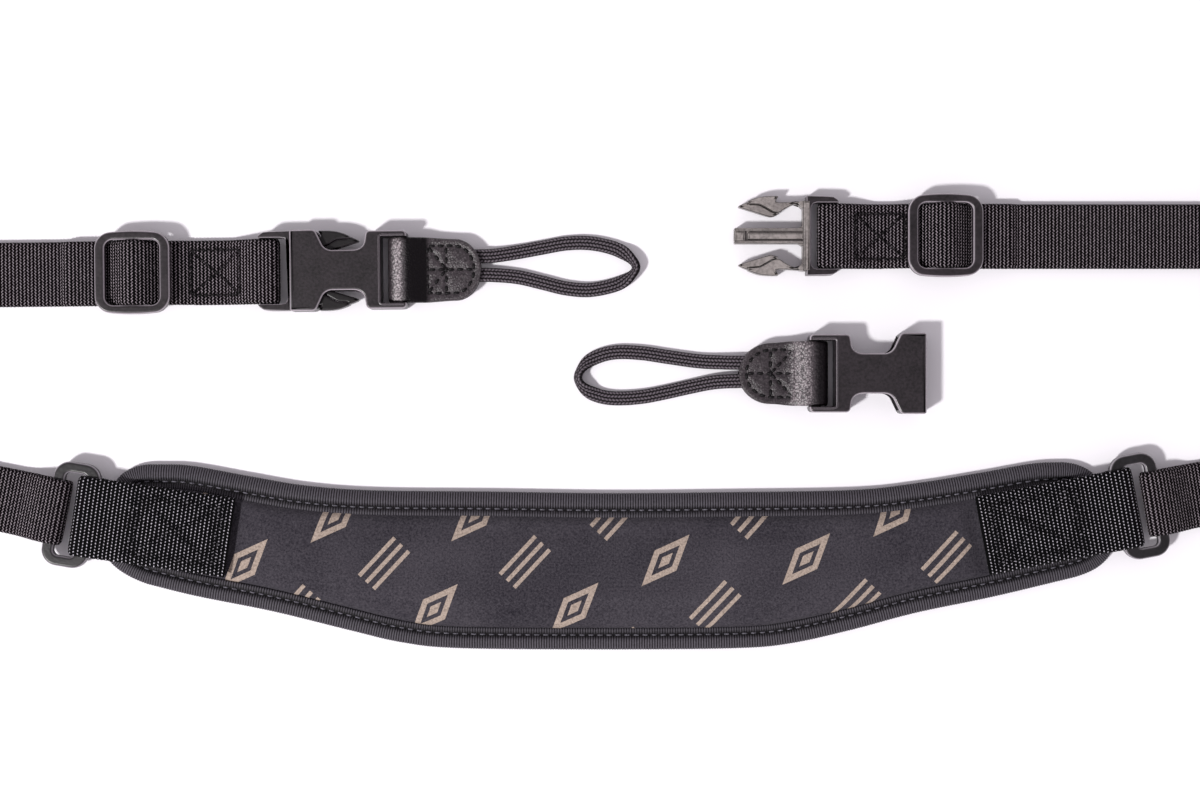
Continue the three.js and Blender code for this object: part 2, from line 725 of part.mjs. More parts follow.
// One spring prong of the male half, on the +v side or mirrored to the other.
function prong(side) {
  const outline = [
    ...vectors([-0.6, 8.4], [0.8, 9.4], [2, 9.8], [3.9, 9.3], [7.4, 7.1], [8.7, 6.2], [10.3, 5.9]),
    ...vectors([19.6, 8.8], [20, 9.1], [17.1, 10.8], [13.8, 12], [9.5, 12.4], [7.4, 12.4]),
    ...vectors([8.5, 10.4], [-0.6, 10.8]),
  ];
  const points = outline.map((p) => new THREE.Vector2(p.x, side * p.y));
  return plate(new THREE.Shape(points), MALE.prongThick, 0.3);
}

function maleHalf() {
  const { collar, slotFrom, barFrom, end, halfWidth, slotHalfWidth, height } = MALE;
  const ear = -end + 3.6;
  const shape = new THREE.Shape();
  shape.moveTo(-collar, -halfWidth);
  shape.lineTo(-collar, halfWidth);
  shape.lineTo(ear, halfWidth);
  shape.quadraticCurveTo(-end + 1, halfWidth, -end, halfWidth - 1.6);
  shape.lineTo(-end, -halfWidth + 1.6);
  shape.quadraticCurveTo(-end + 1, -halfWidth, ear, -halfWidth);
  shape.closePath();
  const bodyDepth = [-barFrom - 0.01, -slotFrom];
  const inner = [-slotHalfWidth, slotHalfWidth];
  const barHalf = MALE.barThick / 2;
  const plateHalf = MALE.plateHeight / 2;
  const plateWide = [-MALE.plateHalfWidth, MALE.plateHalfWidth];
  const guide = box(
    [-1, MALE.guideLength],
    [-MALE.guideHalf, MALE.guideHalf],
    [-MALE.guideHalf, MALE.guideHalf],
  );
  let solid = joined(plate(shape, height, 0.5));
  solid = solid.subtract(solidOf(box(bodyDepth, inner, [-height, height])));
  for (const [low, high] of [[-height, -barHalf], [barHalf, height]]) {
    solid = solid.subtract(solidOf(box([-end - 1, -barFrom + 0.01], inner, [low, high])));
  }
  solid = solid.add(solidOf(box([-collar - 0.4, 0], plateWide, [-plateHalf, plateHalf])));
  solid = solid.add(solidOf(guide));
  for (const [low, high] of [[-3, -1.5], [1.5, 3]]) {
    solid = solid.subtract(solidOf(box([0.6, 17.4], [-1.25, 1.25], [low, high])));
  }
  return geometryOf(solid.add(solidOf(prong(1))).add(solidOf(prong(-1))));
}

// The female half's outline from above, narrow at the waist where the prongs show.
function femaleOutline() {
  const { length, halfWidth, waist } = FEMALE;
  const rear = halfWidth - 0.45;
  const half = new THREE.Path();
  half.moveTo(0, 0);
  half.lineTo(0, halfWidth - 0.5);
  half.lineTo(0.5, halfWidth);
  half.lineTo(7, halfWidth);
  half.quadraticCurveTo(8, halfWidth, 8.4, halfWidth - 1.1);
  half.lineTo(9.8, 8.6);
  half.quadraticCurveTo(10.6, waist, 13, waist);
  half.lineTo(19.6, waist);
  half.quadraticCurveTo(22.6, waist, 23.2, 8.8);
  half.lineTo(23.5, rear - 1);
  half.quadraticCurveTo(23.7, rear, 24.8, rear);
  half.lineTo(length - 1.4, rear);
  half.quadraticCurveTo(length, rear, length, rear - 1.4);
  half.lineTo(length, 0);
  const upper = half.getPoints(3).slice(1, -1);
  const lower = upper.map((p) => new THREE.Vector2(p.x, -p.y)).reverse();
  return new THREE.Shape([...upper, ...lower]);
}

function femaleHalf() {
  const { length, height, mouthDepth, mouthHalfWidth, roomDepth, roomHeight, bevel } = FEMALE;
  const room = [-roomHeight / 2, roomHeight / 2];
  const inner = [-MALE.slotHalfWidth, MALE.slotHalfWidth];
  const barHalf = FEMALE.barThick / 2;
  const cuts = [
    box([-1, mouthDepth + 0.01], [-mouthHalfWidth, mouthHalfWidth], room),
    box([mouthDepth, roomDepth], [-20, 20], room),
    box([FEMALE.slotFrom, FEMALE.barFrom], inner, [-height, height]),
    box([FEMALE.barFrom - 0.01, length + 1], inner, [barHalf, height]),
    box([FEMALE.barFrom - 0.01, length + 1], inner, [-height, -barHalf]),
  ];
  let solid = solidOf(plate(femaleOutline(), height, bevel));
  for (const cut of cuts) {
    solid = solid.subtract(solidOf(cut));
  }
  return geometryOf(solid);
}

// ---------------------------------------------------------------- quick-release ends

function releaseFrame(name) {
  const release = RELEASES[name];
  if (release.mouth) {
    return groundFrame(release.mouth, radians(release.turn));
  }
  const side = SIDES[name];
  const { back } = strapPlan(side);
  const mouth = back.place(side.reach + MALE.end - MALE_INSERTION, 0);
  return groundFrame({ x: mouth.x, y: mouth.y }, radians(release.turn));
}

// Leather folded round the female half's bar, both layers cut to one round end.
function leatherTab(name) {
  const { leatherLength, roundEnd } = RELEASES[name];
  const frame = releaseFrame(name);
  const level = FEMALE.height / 2;
  const wrap = FEMALE.barThick / 2 + GAP + LEATHER.thick / 2;
  const low = LEATHER.thick / 2;
  const high = CORD.level * 2 - low;
  const roundFrom = leatherLength - roundEnd;
  const sewnFrom = FEMALE.length + 7.5;
  const angles = [86, 72, 58, 44, 30, 15, 0];
  const tip = angles.map((degrees) => ({
    x: roundFrom + roundEnd * Math.sin(radians(degrees)),
    halfWidth: (LEATHER.tipWidth / 2) * Math.cos(radians(degrees)),
  }));
  const straight = (x, y) => ({ x, y, halfWidth: LEATHER.width / 2 });
  const fold = arc({ x: FEMALE.barFrom + 0.35, y: level }, wrap, 270, 90, 8);
  const path = [
    ...tip.map((p) => ({ ...p, y: low })),
    straight(sewnFrom, low),
    straight(sewnFrom - 2.6, low + 0.35),
    straight(FEMALE.length + 0.4, level - wrap - 0.1),
    ...fold.map((p) => straight(p.x, p.y)),
    straight(FEMALE.length + 0.6, level + wrap),
    straight(FEMALE.length + 3.4, level + wrap - 0.7),
    straight(sewnFrom - 1.6, high + 0.25),
    straight(sewnFrom, high),
    ...tip.toReversed().map((p) => ({ ...p, y: high })),
  ];
  const points = path.map((p) => frame.place(p.x, p.y));
  return strip(stationsAlong(points, frame.across, (i) => path[i].halfWidth), LEATHER.thick);
}

// The flat cord of a loop, lying flat, its two ends between the layers of the leather.
function cordLoop(name) {
  const section = new THREE.Shape();
  section.absellipse(0, 0, CORD.thick / 2, CORD.width / 2, 0, 2 * Math.PI, false, 0);
  const outline = section.getPoints(CORD.sides / 2).slice(0, CORD.sides);
  const points = CORD_ROUTES[name].map((p) => new THREE.Vector3(p.x, p.y, p.z));
  const route = new THREE.CatmullRomCurve3(points);
  return new THREE.ExtrudeGeometry(new THREE.Shape(outline), {
    extrudePath: route,
    steps: Math.ceil(route.getLength() / CORD.step),
    bevelEnabled: false,
  });
}

// ---------------------------------------------------------------- the strap put together

const strap = new THREE.Group();

function addPiece(name, geometry, material, place) {
  const mesh = new THREE.Mesh(geometry, material);
  mesh.name = name;
  if (place) {
    mesh.position.set(place.x, place.y, place.z);
    mesh.rotation.z = place.turn;
  }
  strap.add(mesh);
}

addPiece("neck_pad", neckPad(), jersey);
addPiece("edge_binding", edgeBinding(), tape);

for (const [name, side] of Object.entries(SIDES)) {
  const { back } = strapPlan(side);
  const ringTurn = headingOut(side, side.ringRise);
  const collar = back.place(side.reach + MALE.end, 0);
  const level = side.buckleLevel;
  const turn = back.heading;
  addPiece(`tab_${name}`, tabWebbing(side), coarseNylon);
  addPiece(`ring_${name}`, ring(), acetal, { ...side.ring, z: RING_LEVEL, turn: ringTurn });
  addPiece(`webbing_${name}`, webbingStrap(side), nylon);
  addPiece(`slider_${name}`, slider(), acetal, { ...side.slider, z: SLIDER_LEVEL, turn });
  addPiece(`buckle_male_${name}`, maleHalf(), acetal, { x: collar.x, y: collar.y, z: level, turn });
}

for (const name of Object.keys(RELEASES)) {
  const { origin, heading } = releaseFrame(name);
  const place = { x: origin.x, y: origin.y, z: FEMALE.height / 2, turn: heading };
  addPiece(`buckle_female_${name}`, femaleHalf(), acetal, place);
  addPiece(`leather_tab_${name}`, leatherTab(name), leather);
  addPiece(`cord_loop_${name}`, cordLoop(name), braid);
}

export default strap;
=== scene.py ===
import math
from functools import partial

import bpy
import numpy as np
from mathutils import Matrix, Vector
from mathutils.geometry import tessellate_polygon


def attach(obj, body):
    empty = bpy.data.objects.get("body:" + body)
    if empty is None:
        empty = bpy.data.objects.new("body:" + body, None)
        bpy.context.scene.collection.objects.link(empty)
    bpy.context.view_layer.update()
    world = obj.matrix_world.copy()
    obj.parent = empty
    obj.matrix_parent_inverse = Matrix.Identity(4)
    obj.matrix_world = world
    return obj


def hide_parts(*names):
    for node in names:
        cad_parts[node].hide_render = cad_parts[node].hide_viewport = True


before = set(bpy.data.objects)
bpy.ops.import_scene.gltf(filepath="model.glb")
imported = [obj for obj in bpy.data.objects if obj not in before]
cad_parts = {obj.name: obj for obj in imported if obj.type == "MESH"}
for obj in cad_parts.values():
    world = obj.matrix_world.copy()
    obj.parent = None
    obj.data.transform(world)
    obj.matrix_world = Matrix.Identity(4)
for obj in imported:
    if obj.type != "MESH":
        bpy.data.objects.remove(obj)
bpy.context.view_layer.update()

# The strap lies on a white table and is seen from straight above. A softbox stands low at the
# front left, and a pale room gives the rest of the light. Pieces are worked out in millimetres.

MM = 0.001
CAMERA_AT = (-2.35 * MM, 53.4 * MM, 600 * MM)
TABLE_HALF = 3.0  # metres
TABLE_LEVEL = -0.3 * MM  # a little low, to lie clear of the faces at the strap's zero level
SOFTBOX_AT = (-1.27, -0.8, 1.87)  # metres


def placed(name, data, location=(0, 0, 0)):
    """An object with this data, linked into the scene."""
    made = bpy.data.objects.new(name, data)
    made.location = location
    bpy.context.scene.collection.objects.link(made)
    return made


def srgb(code):
    """The linear colour of an sRGB hex code."""
    shares = [int(code[i : i + 2], 16) / 255 for i in (1, 3, 5)]
    linear = [s / 12.92 if s <= 0.04045 else ((s + 0.055) / 1.055) ** 2.4 for s in shares]
    return (*linear, 1.0)


def add_node(tree, kind, *values, **named):
    """A shader node; a colon and an operation may follow its kind. Its values, in order or by
    name, are numbers for its inputs, nodes or sockets to link to them, or its properties; stops
    are the places and colours of a ramp."""
    kind, _, operation = kind.partition(":")
    node = tree.nodes.new("ShaderNode" + kind)
    if operation:
        node.operation = operation
    for key, value in [*enumerate(values), *named.items()]:
        if key == "stops":
            (first, low), *between, (last, high) = value.items()
            ends = node.color_ramp.elements
            ends[0].position, ends[0].color = first, srgb(low)
            ends[1].position, ends[1].color = last, srgb(high)
            for place, code in between:
                ends.new(place).color = srgb(code)
        elif isinstance(key, str) and hasattr(node, key):
            setattr(node, key, value)
        else:
            socket = node.inputs[key] if isinstance(key, int) else next(
                s for s in node.inputs if key in (s.identifier, s.name.replace(" ", "_"))
            )
            if isinstance(value, bpy.types.Node):
                value = value.outputs[0]
            if isinstance(value, bpy.types.NodeSocket):
                tree.links.new(value, socket)
            else:
                socket.default_value = value
    return node


def new_material(name):
    """An empty node material, and the function that adds its nodes."""
    material = bpy.data.materials.new(name)
    material.use_nodes = True
    material.node_tree.nodes.clear()
    return material, partial(add_node, material.node_tree)


# Painted table top: plain and pale, with hardly any gloss
painted_table_top, node = new_material("painted_table_top")
mottle = node("TexNoise", Scale=9.0, Detail=3.0)
tint = node("ValToRGB", mottle, stops={0: "#e6e5ea", 1: "#e9e8ec"})
node("OutputMaterial", node("BsdfPrincipled", tint, Roughness=0.8, Specular_IOR_Level=0.1))

corners = [(x * TABLE_HALF, y * TABLE_HALF, 0) for x, y in ((-1, -1), (1, -1), (1, 1), (-1, 1))]
table_mesh = bpy.data.meshes.new("table_top")
table_mesh.from_pydata(corners, [], [(0, 1, 2, 3)])
table_mesh.materials.append(painted_table_top)
placed("table_top", table_mesh, (0, 0, TABLE_LEVEL))

softbox_data = bpy.data.lights.new("softbox", "AREA")
softbox_data.shape = "DISK"
softbox_data.size = 0.26
softbox_data.energy = 62
softbox_data.color = (1.0, 0.985, 0.97)
softbox = placed("softbox", softbox_data, SOFTBOX_AT)
softbox.rotation_euler = (-softbox.location).to_track_quat("-Z", "Y").to_euler()

# The room: pale walls all round, dimmer overhead
room = bpy.data.worlds.new("pale_room")
room.use_nodes = True
room.node_tree.nodes.clear()
node = partial(add_node, room.node_tree)
height = node("SeparateXYZ", node("TexCoord").outputs["Generated"]).outputs["Z"]
walls = node("ValToRGB", height, stops={0: "#fff8fb", 1: "#a8a2a8"})
node("OutputWorld", node("Background", walls, Strength=1.08))
bpy.context.scene.world = room

camera_data = bpy.data.cameras.new("overhead_camera")
camera_data.sensor_width = 36
camera_data.lens = 57.6
camera_data.clip_end = 10
bpy.context.scene.camera = placed("overhead_camera", camera_data, CAMERA_AT)
bpy.context.scene.view_settings.view_transform = "Standard"


# Cord loops: flat braid of black polyester, four plaits wide, both ends sewn into the leather.
# Each goes round a lug of the binoculars; lying free, it stands on its edge at the tip.

CORD_WIDTH, CORD_THICK, CORD_STEP = 4.4, 1.9, 0.4
PLAIT_ROWS, PLAIT_SWELL = 4, 0.22
PLAIT_PITCH = 1.1  # real plaits are finer, 0.4 mm at a guess, and are drawn coarser to be seen
TIP_LEAN, TIP_LIFT = math.radians(65), 0.9
CORD_ROUTES = {
    "left": [
        (-52.8, 98, 2.55), (-46.8, 98, 2.55), (-40.5, 98.1, 2.55), (-35.5, 98.3, 2.0),
        (-27.9, 99.5, 1.3), (-20.4, 100.9, 1.1), (-12.9, 102.2, 1.1), (-5.5, 102.3, 1.1),
        (2, 100.7, 1.1), (6.7, 98, 1.1), (8.9, 94.7, 1.1), (6.7, 91.6, 1.1),
        (2, 89.2, 1.1), (-5.5, 87.7, 1.1), (-12.9, 88.2, 1.1), (-20.4, 90, 1.1),
        (-27.9, 91.7, 1.3), (-35.5, 92.3, 2.0), (-40.5, 92.3, 2.55), (-46.8, 92.3, 2.55),
        (-52.8, 92.2, 2.55),
    ],
    "right": [
        (53.2, 64.9, 2.55), (47.2, 64.9, 2.55), (40.8, 65, 2.55), (35.8, 65.1, 2.0),
        (28.2, 65.5, 1.3), (18.2, 66.9, 1.1), (10.8, 68, 1.1), (3.2, 68.3, 1.1),
        (-2.4, 67.2, 1.1), (-6.7, 64.8, 1.1), (-9.2, 60.6, 1.1), (-7.1, 56.9, 1.1),
        (-2.4, 54.6, 1.1), (3.2, 53.9, 1.1), (10.8, 54.4, 1.1), (18.2, 55.8, 1.1),
        (25.8, 57.5, 1.2), (33.2, 58.9, 1.8), (40.8, 59.3, 2.55), (47.2, 59.3, 2.55),
        (53.2, 59.3, 2.55),
    ],
}


def distances_along(line):
    return np.concatenate([[0], np.cumsum(np.linalg.norm(np.diff(line, axis=0), axis=1))])


def values_at(at, places, rows):
    """Each column of some rows, interpolated between their places."""
    return np.column_stack([np.interp(at, places, column) for column in rows.T])


def evenly(line, step):
    """The same line with points at an even step."""
    length = distances_along(line)
    count = max(2, int(round(length[-1] / step)) + 1)
    return values_at(np.linspace(0, length[-1], count), length, line)


def smooth_line(points, step):
    """Evenly spaced points on a Catmull-Rom curve through these points."""
    knots = np.array(points, float)
    knots = np.vstack([2 * knots[0] - knots[1], knots, 2 * knots[-1] - knots[-2]])
    share = np.linspace(0, 1, 24, endpoint=False)[:, None]
    fine = [
        0.5 * (2 * b + (c - a) * share + (2 * a - 5 * b + 4 * c - d) * share**2
               + (3 * b - a - 3 * c + d) * share**3)
        for a, b, c, d in zip(knots, knots[1:], knots[2:], knots[3:])
    ]
    return evenly(np.vstack([*fine, knots[-2:-1]]), step)


def unit(vectors):
    return vectors / np.linalg.norm(vectors, axis=-1, keepdims=True)


def ease(start, end, value):
    """0 up to the start, 1 from the end on, and a smooth step between."""
    share = np.clip((value - start) / (end - start), 0, 1)
    return share * share * (3 - 2 * share)


def swept(middle, across, up, section, closed_run=False):
    """Points and quads of a section carried along a line. The directions across and up may be
    one for each station or one for all, and so may the (across, up) points of the section."""
    across, up = (np.atleast_2d(way)[:, None] for way in (across, up))
    points = middle[:, None] + across * section[..., :1] + up * section[..., 1:]
    stations, count = points.shape[:2]
    ring = np.arange(count)
    after = (ring + 1) % count
    rows = np.arange(stations if closed_run else stations - 1)
    here = rows[:, None] * count
    there = (rows[:, None] + 1) % stations * count
    quads = np.stack([here + ring, here + after, there + after, there + ring], axis=-1)
    return points.reshape(-1, 3), quads.reshape(-1, 4).tolist()


def add_piece(name, points, faces, material, nodes=(), run=None, sharp=None):
    """A piece in millimetres, smooth shaded, that rides on the strap and hides its CAD nodes.
    Its run tells the material how far along and across each point lies, and a third value."""
    mesh = bpy.data.meshes.new(name)
    mesh.from_pydata((np.asarray(points) * MM).tolist(), [], faces)
    mesh.validate()
    mesh.update()
    mesh.shade_smooth()
    if sharp:
        mesh.set_sharp_from_angle(angle=math.radians(sharp))
    if run is not None:
        woven = mesh.attributes.new("run", "FLOAT_VECTOR", "POINT")
        run = np.stack(np.broadcast_arrays(*run), axis=-1)
        woven.data.foreach_set("vector", run.astype(np.float32).ravel())
    mesh.materials.append(material)
    piece = placed(name, mesh)
    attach(piece, "root")
    if nodes:
        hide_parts(*nodes)
    return piece


def wave(node, turns):
    """A cosine between 0 and 1 that repeats at every whole number of turns."""
    swing = node("Math:COSINE", node("Math:MULTIPLY", turns, 2 * math.pi))
    return node("Math:MULTIPLY_ADD", swing, 0.5, 0.5)


def run_of(node):
    """A piece's run, and its three values."""
    run = node("Attribute", attribute_name="run").outputs["Vector"]
    return run, *node("SeparateXYZ", run).outputs


# Braided polyester: slanted plaits in rows, each painted pale on its crown as a painted highlight
# and dark where it dips as painted shade
braided_polyester, node = new_material("braided_polyester")
run, along, across, _ = run_of(node)
row = node("Math:MULTIPLY_ADD", across, PLAIT_ROWS / CORD_WIDTH, PLAIT_ROWS / 2)
in_row = node("Math:FRACT", row)
odd = node("Math:FLOORED_MODULO", node("Math:FLOOR", row), 2.0)
slant = node("Math:MULTIPLY_ADD", odd, 1.2, -0.6)
slanted = node("Math:MULTIPLY", in_row, slant)
plait = wave(node, node("Math:MULTIPLY_ADD", along, 1 / PLAIT_PITCH, slanted))
ridge = node("Math:SINE", node("Math:MULTIPLY", in_row, math.pi))
raised = node("Math:MULTIPLY_ADD", plait, 0.6, 0.4)
crown = node("Math:MULTIPLY", raised, ridge)
fuzz = node("Math:MULTIPLY_ADD", node("TexNoise", run, Scale=2.0, Detail=4.0), 0.8, -0.4)
lit = node("Math:ADD", crown, fuzz)
node("OutputMaterial", node(
    "BsdfPrincipled", node("ValToRGB", lit, stops={0.22: "#050305", 0.95: "#655e65"}),
    Roughness=0.75, Sheen_Weight=0.02, Specular_IOR_Level=0.1,
    Normal=node("Bump", Strength=0.6, Distance=0.15 * MM, Height=crown),
))

# Section: a flat oval whose faces swell at each row of plaits
per_face = PLAIT_ROWS * 5
face_side = np.linspace(-1, 1, per_face + 1)[:-1]
width_at = np.concatenate([face_side, -face_side]) * CORD_WIDTH / 2
oval = (1 - np.abs(width_at / (CORD_WIDTH / 2)) ** 3) ** 0.5
swollen = np.abs(np.sin(np.pi * PLAIT_ROWS * (width_at / CORD_WIDTH + 0.5)))
height = (CORD_THICK / 2 - PLAIT_SWELL) * oval + PLAIT_SWELL * swollen * oval
braid_section = np.stack([width_at, np.repeat([-1.0, 1.0], per_face) * height], axis=-1)

for side, route in CORD_ROUTES.items():
    line = smooth_line(route, CORD_STEP)
    length = distances_along(line)
    tip = length[np.argmax(np.abs(line[:, 0] - line[0, 0]))]
    edge_on = 1 - ease(1, 9, np.abs(length - tip))
    line[:, 2] += edge_on * TIP_LIFT
    along = unit(np.gradient(line, axis=0))
    level = unit(np.cross([0, 0, 1], along))
    lean = edge_on[:, None] * TIP_LEAN
    across = level * np.cos(lean) + unit(np.cross(along, level)) * np.sin(lean)
    points, quads = swept(line, across, np.cross(along, across), braid_section)
    cord = add_piece(f"cord_braid_{side}", points, quads, braided_polyester,
                     [f"cord_loop_{side}"], run=(length[:, None], width_at, 0))


# Neck pad: closed-cell foam faced with knitted jersey and printed in tan. Its long edges curve
# smoothly, its rim is pinched thin under the binding, and the foam swells between.

SIGNS = {"left": -1, "right": 1}
RINGS = {"left": (-166.4, 17.9), "right": (165.1, 20.6)}
TAB_RISE = {"left": 8.2, "right": 10.7}  # degrees that each tab points up the table
TAB_LENGTH = 49.5
PAD_HEIGHT, PAD_RIM_HEIGHT = 5.6, 2.6
PAD_PRESSED_HEIGHT = 3.7  # under a tab
PAD_SWELL = 1.1  # most that the foam rises over its cut height
RISE_FROM, RISE_TO = 0.4, 11.5  # from the lip inwards, where it starts to rise and has risen
UNDER_LIFT, UNDER_WIDTH = 1.15, 1.8  # the underside clears the tape, and comes down past the lip
PAD_CUT_IN = 1.3  # how far the foam stays inside the binding
FOAM_ROUND = 4.6  # over this width the foam rises from the lip to its full height
LIP_LOWER, LIP_UPPER = 6.87, 7.8  # how far the binding's lip reaches over the foam
LIP_DRAWN = 6.3  # the lip in the binding's drawn section
UPPER_EDGE = [
    (-141.5, 33.5), (-130, 33.1), (-112, 29.9), (-94, 26.9), (-73, 25.4), (-36, 25), (0, 24.5),
    (36, 24.8), (76, 25.5), (96, 27.6), (115, 30.7), (132, 33.7), (141.5, 34.2),
]
LOWER_EDGE = [
    (-143.5, -4), (-128, -7.8), (-104, -12.6), (-80, -18.5), (-64, -22.2), (-46, -24),
    (0, -24.4), (40, -24), (57, -22.5), (76, -18.3), (96, -13), (120, -8), (143.5, -2.4),
]
UPPER_CORNER, UPPER_END = (153.6, 33.6), (155.3, 22.3)
LOWER_CORNER, LOWER_END = (155.8, 0.4), (157.4, 7.5)
COLUMNS, ROWS, END_STEPS = 191, 40, 14
EDGE_ROWS = np.array([0, 1.6, 3.0, 4.0, 4.7, 5.3, 5.9, 6.6, 7.4, 8.4, 9.8])  # from each edge
COLUMN_PITCH, MOTIF_PITCH, PRINT_TURN = 30.0, 21.0, math.radians(-47)
LOZENGE = (11.0, 4.6)  # half its length and width
LOZENGE_BAND, LOZENGE_EYE = (0.79, 0.2), 0.3  # in shares of it: the band's middle and half width
BARS = (8.0, 3.7)  # half the length of the bars and half the width of the three
BAR_PITCH, BAR_HALF = 1.5, 0.62


def bezier(start, control, stop, share):
    """Points at these shares of a curve drawn towards its control."""
    start, control, stop = (np.array(p, float) for p in (start, control, stop))
    return (1 - share) ** 2 * start + 2 * share * (1 - share) * control + share**2 * stop


def long_edge(rows, corner, end):
    """One long edge of the pad with its round corners, from the left end to the right."""
    share = np.linspace(0, 1, 30)[:, None]
    left, right = (
        bezier(row, (sign * corner[0], corner[1]), (sign * end[0], end[1]), share)
        for row, sign in ((rows[0], -1), (rows[-1], 1))
    )
    chain = np.vstack([left[:0:-1], smooth_line(rows, 0.5), right[1:]])
    return evenly(chain, distances_along(chain)[-1] / (COLUMNS - 1))


def inward(loop):
    """The unit normals of a closed anticlockwise loop, pointing inwards."""
    along = unit(np.roll(loop, -1, axis=0) - np.roll(loop, 1, axis=0))
    return np.stack([-along[:, 1], along[:, 0]], axis=1)


def closed(loop):
    return np.vstack([loop, loop[:1]])


UPWARDS = np.array([0, 0, 1.0])


def heading_out(side, rise):
    return math.radians(rise) if side == "right" else math.pi - math.radians(rise)


def ground_frame(origin, heading):
    """Origin, and unit vectors along and across a straight stretch on the table."""
    along = np.array([math.cos(heading), math.sin(heading), 0.0])
    return np.array([*origin, 0.0]), along, np.array([-along[1], along[0], 0.0])


low_edge = long_edge(LOWER_EDGE, LOWER_CORNER, LOWER_END)
high_edge = long_edge(UPPER_EDGE, UPPER_CORNER, UPPER_END)
end_share = np.linspace(0, 1, END_STEPS)[1:-1, None]
right_end = low_edge[-1] + (high_edge[-1] - low_edge[-1]) * end_share
left_end = high_edge[0] + (low_edge[0] - high_edge[0]) * end_share
pad_rim = np.vstack([low_edge, right_end, high_edge[::-1], left_end])
cut_rim = pad_rim + inward(pad_rim) * PAD_CUT_IN
low_cut = cut_rim[:COLUMNS]
high_cut = cut_rim[-len(left_end) - COLUMNS : -len(left_end)][::-1]

# Rows of the grid lie close together along both edges
width = np.linalg.norm(high_cut - low_cut, axis=1)[:, None]
low_rows, high_rows = EDGE_ROWS * LIP_LOWER / LIP_DRAWN, EDGE_ROWS[::-1] * LIP_UPPER / LIP_DRAWN
middle_rows = np.linspace(0, 1, ROWS - 2 * len(EDGE_ROWS) + 2)[1:-1]
middle_rows = low_rows[-1] + (width - low_rows[-1] - high_rows[0]) * middle_rows
low_rows = np.broadcast_to(low_rows, (COLUMNS, len(low_rows)))
share_rows = np.hstack([low_rows, middle_rows, width - high_rows]) / width
plan_points = low_cut[:, None] + (high_cut - low_cut)[:, None] * share_rows[..., None]

fine_rim = evenly(closed(pad_rim), 0.5)
inset = np.array([np.min(np.hypot(*(fine_rim - p).T)) for p in plan_points.reshape(-1, 2)])
inset = inset.reshape(share_rows.shape)
pressed = np.zeros(share_rows.shape)  # 1 where a tab presses the pad down
for side, ring in RINGS.items():
    origin, along, _ = ground_frame(ring, heading_out(side, TAB_RISE[side]))
    back = -((plan_points - origin[:2]) @ along[:2])
    pressed = np.maximum(pressed, 1 - ease(TAB_LENGTH + 1.2, TAB_LENGTH + 7, back))
lip_to = LIP_LOWER + (LIP_UPPER - LIP_LOWER) * share_rows
rise = np.clip((inset - lip_to) / FOAM_ROUND, 0, 1)
crown = PAD_RIM_HEIGHT + (PAD_HEIGHT - PAD_RIM_HEIGHT) * np.sqrt(1 - (1 - rise) ** 2)
crown = np.minimum(crown, PAD_HEIGHT + (PAD_PRESSED_HEIGHT - PAD_HEIGHT) * pressed)
underside = UNDER_LIFT * (1 - ease(0, UNDER_WIDTH, inset - lip_to))
pad_points = np.vstack([np.dstack([plan_points, z]).reshape(-1, 3) for z in (crown, underside)])
index = np.arange(inset.size).reshape(inset.shape)
top_quads = np.stack([index[:-1, :-1], index[1:, :-1], index[1:, 1:], index[:-1, 1:]], axis=-1)
top_quads = top_quads.reshape(-1, 4)
edge = np.concatenate([index[:, 0], index[-1, 1:-1], index[::-1, -1], index[0, -2:0:-1]])
after = np.roll(edge, -1)
wall_quads = np.stack([edge, edge + inset.size, after + inset.size, after], axis=-1)
pad_quads = np.vstack([top_quads, top_quads[:, ::-1] + inset.size, wall_quads]).tolist()

# Printed jersey: charcoal heather knit with tan lozenges and bars in half-drop columns
printed_jersey, node = new_material("printed_knit_jersey")
place = node("TexCoord").outputs["Object"]
turned = node("Mapping", place, Rotation=(0, 0, PRINT_TURN), Scale=(1 / MM, 1 / MM, 1 / MM))
plan_x, plan_y, _ = node("SeparateXYZ", turned).outputs
column = node("Math:DIVIDE", plan_x, COLUMN_PITCH)
column_no = node("Math:FLOOR", column)
odd = node("Math:FLOORED_MODULO", column_no, 2.0)
motif = node("Math:MULTIPLY_ADD", odd, 0.5, node("Math:DIVIDE", plan_y, MOTIF_PITCH))
motif_no = node("Math:FLOOR", motif)
off_centre = []
for count, pitch in ((column, COLUMN_PITCH), (motif, MOTIF_PITCH)):
    from_middle = node("Math:SUBTRACT", node("Math:FRACT", count), 0.5)
    from_middle = node("Math:MULTIPLY", from_middle, pitch)
    off_centre.append(node("Math:ABSOLUTE", from_middle))
u, v = off_centre
lozenge = node("Math:ADD", *(node("Math:DIVIDE", *pair) for pair in zip((u, v), LOZENGE)))
band = node("Math:COMPARE", lozenge, *LOZENGE_BAND)
lozenge_ink = node("Math:MAXIMUM", band, node("Math:LESS_THAN", lozenge, LOZENGE_EYE))
bar = node("Math:COMPARE", node("Math:PINGPONG", v, BAR_PITCH), 0.0, BAR_HALF)
field = node("Math:MULTIPLY", *(node("Math:LESS_THAN", *pair) for pair in zip((u, v), BARS)))
bars_ink = node("Math:MULTIPLY", bar, field)
which = node("Math:FLOORED_MODULO", node("Math:ADD", motif_no, column_no), 2.0)
other = node("Math:SUBTRACT", 1.0, which)
inks = ((which, lozenge_ink), (other, bars_ink))
ink = node("Math:ADD", *(node("Math:MULTIPLY", *pair) for pair in inks))
millimetres = node("Mapping", place, Scale=(1 / MM, 1 / MM, 1 / MM))
heather = node("TexNoise", millimetres, Scale=1.5, Detail=5.0, Roughness=0.8)
clouds = node("TexNoise", millimetres, Scale=0.045, Detail=2.0)
clouds = node("Math:MULTIPLY", node("Math:SUBTRACT", clouds, 0.5), 0.25)
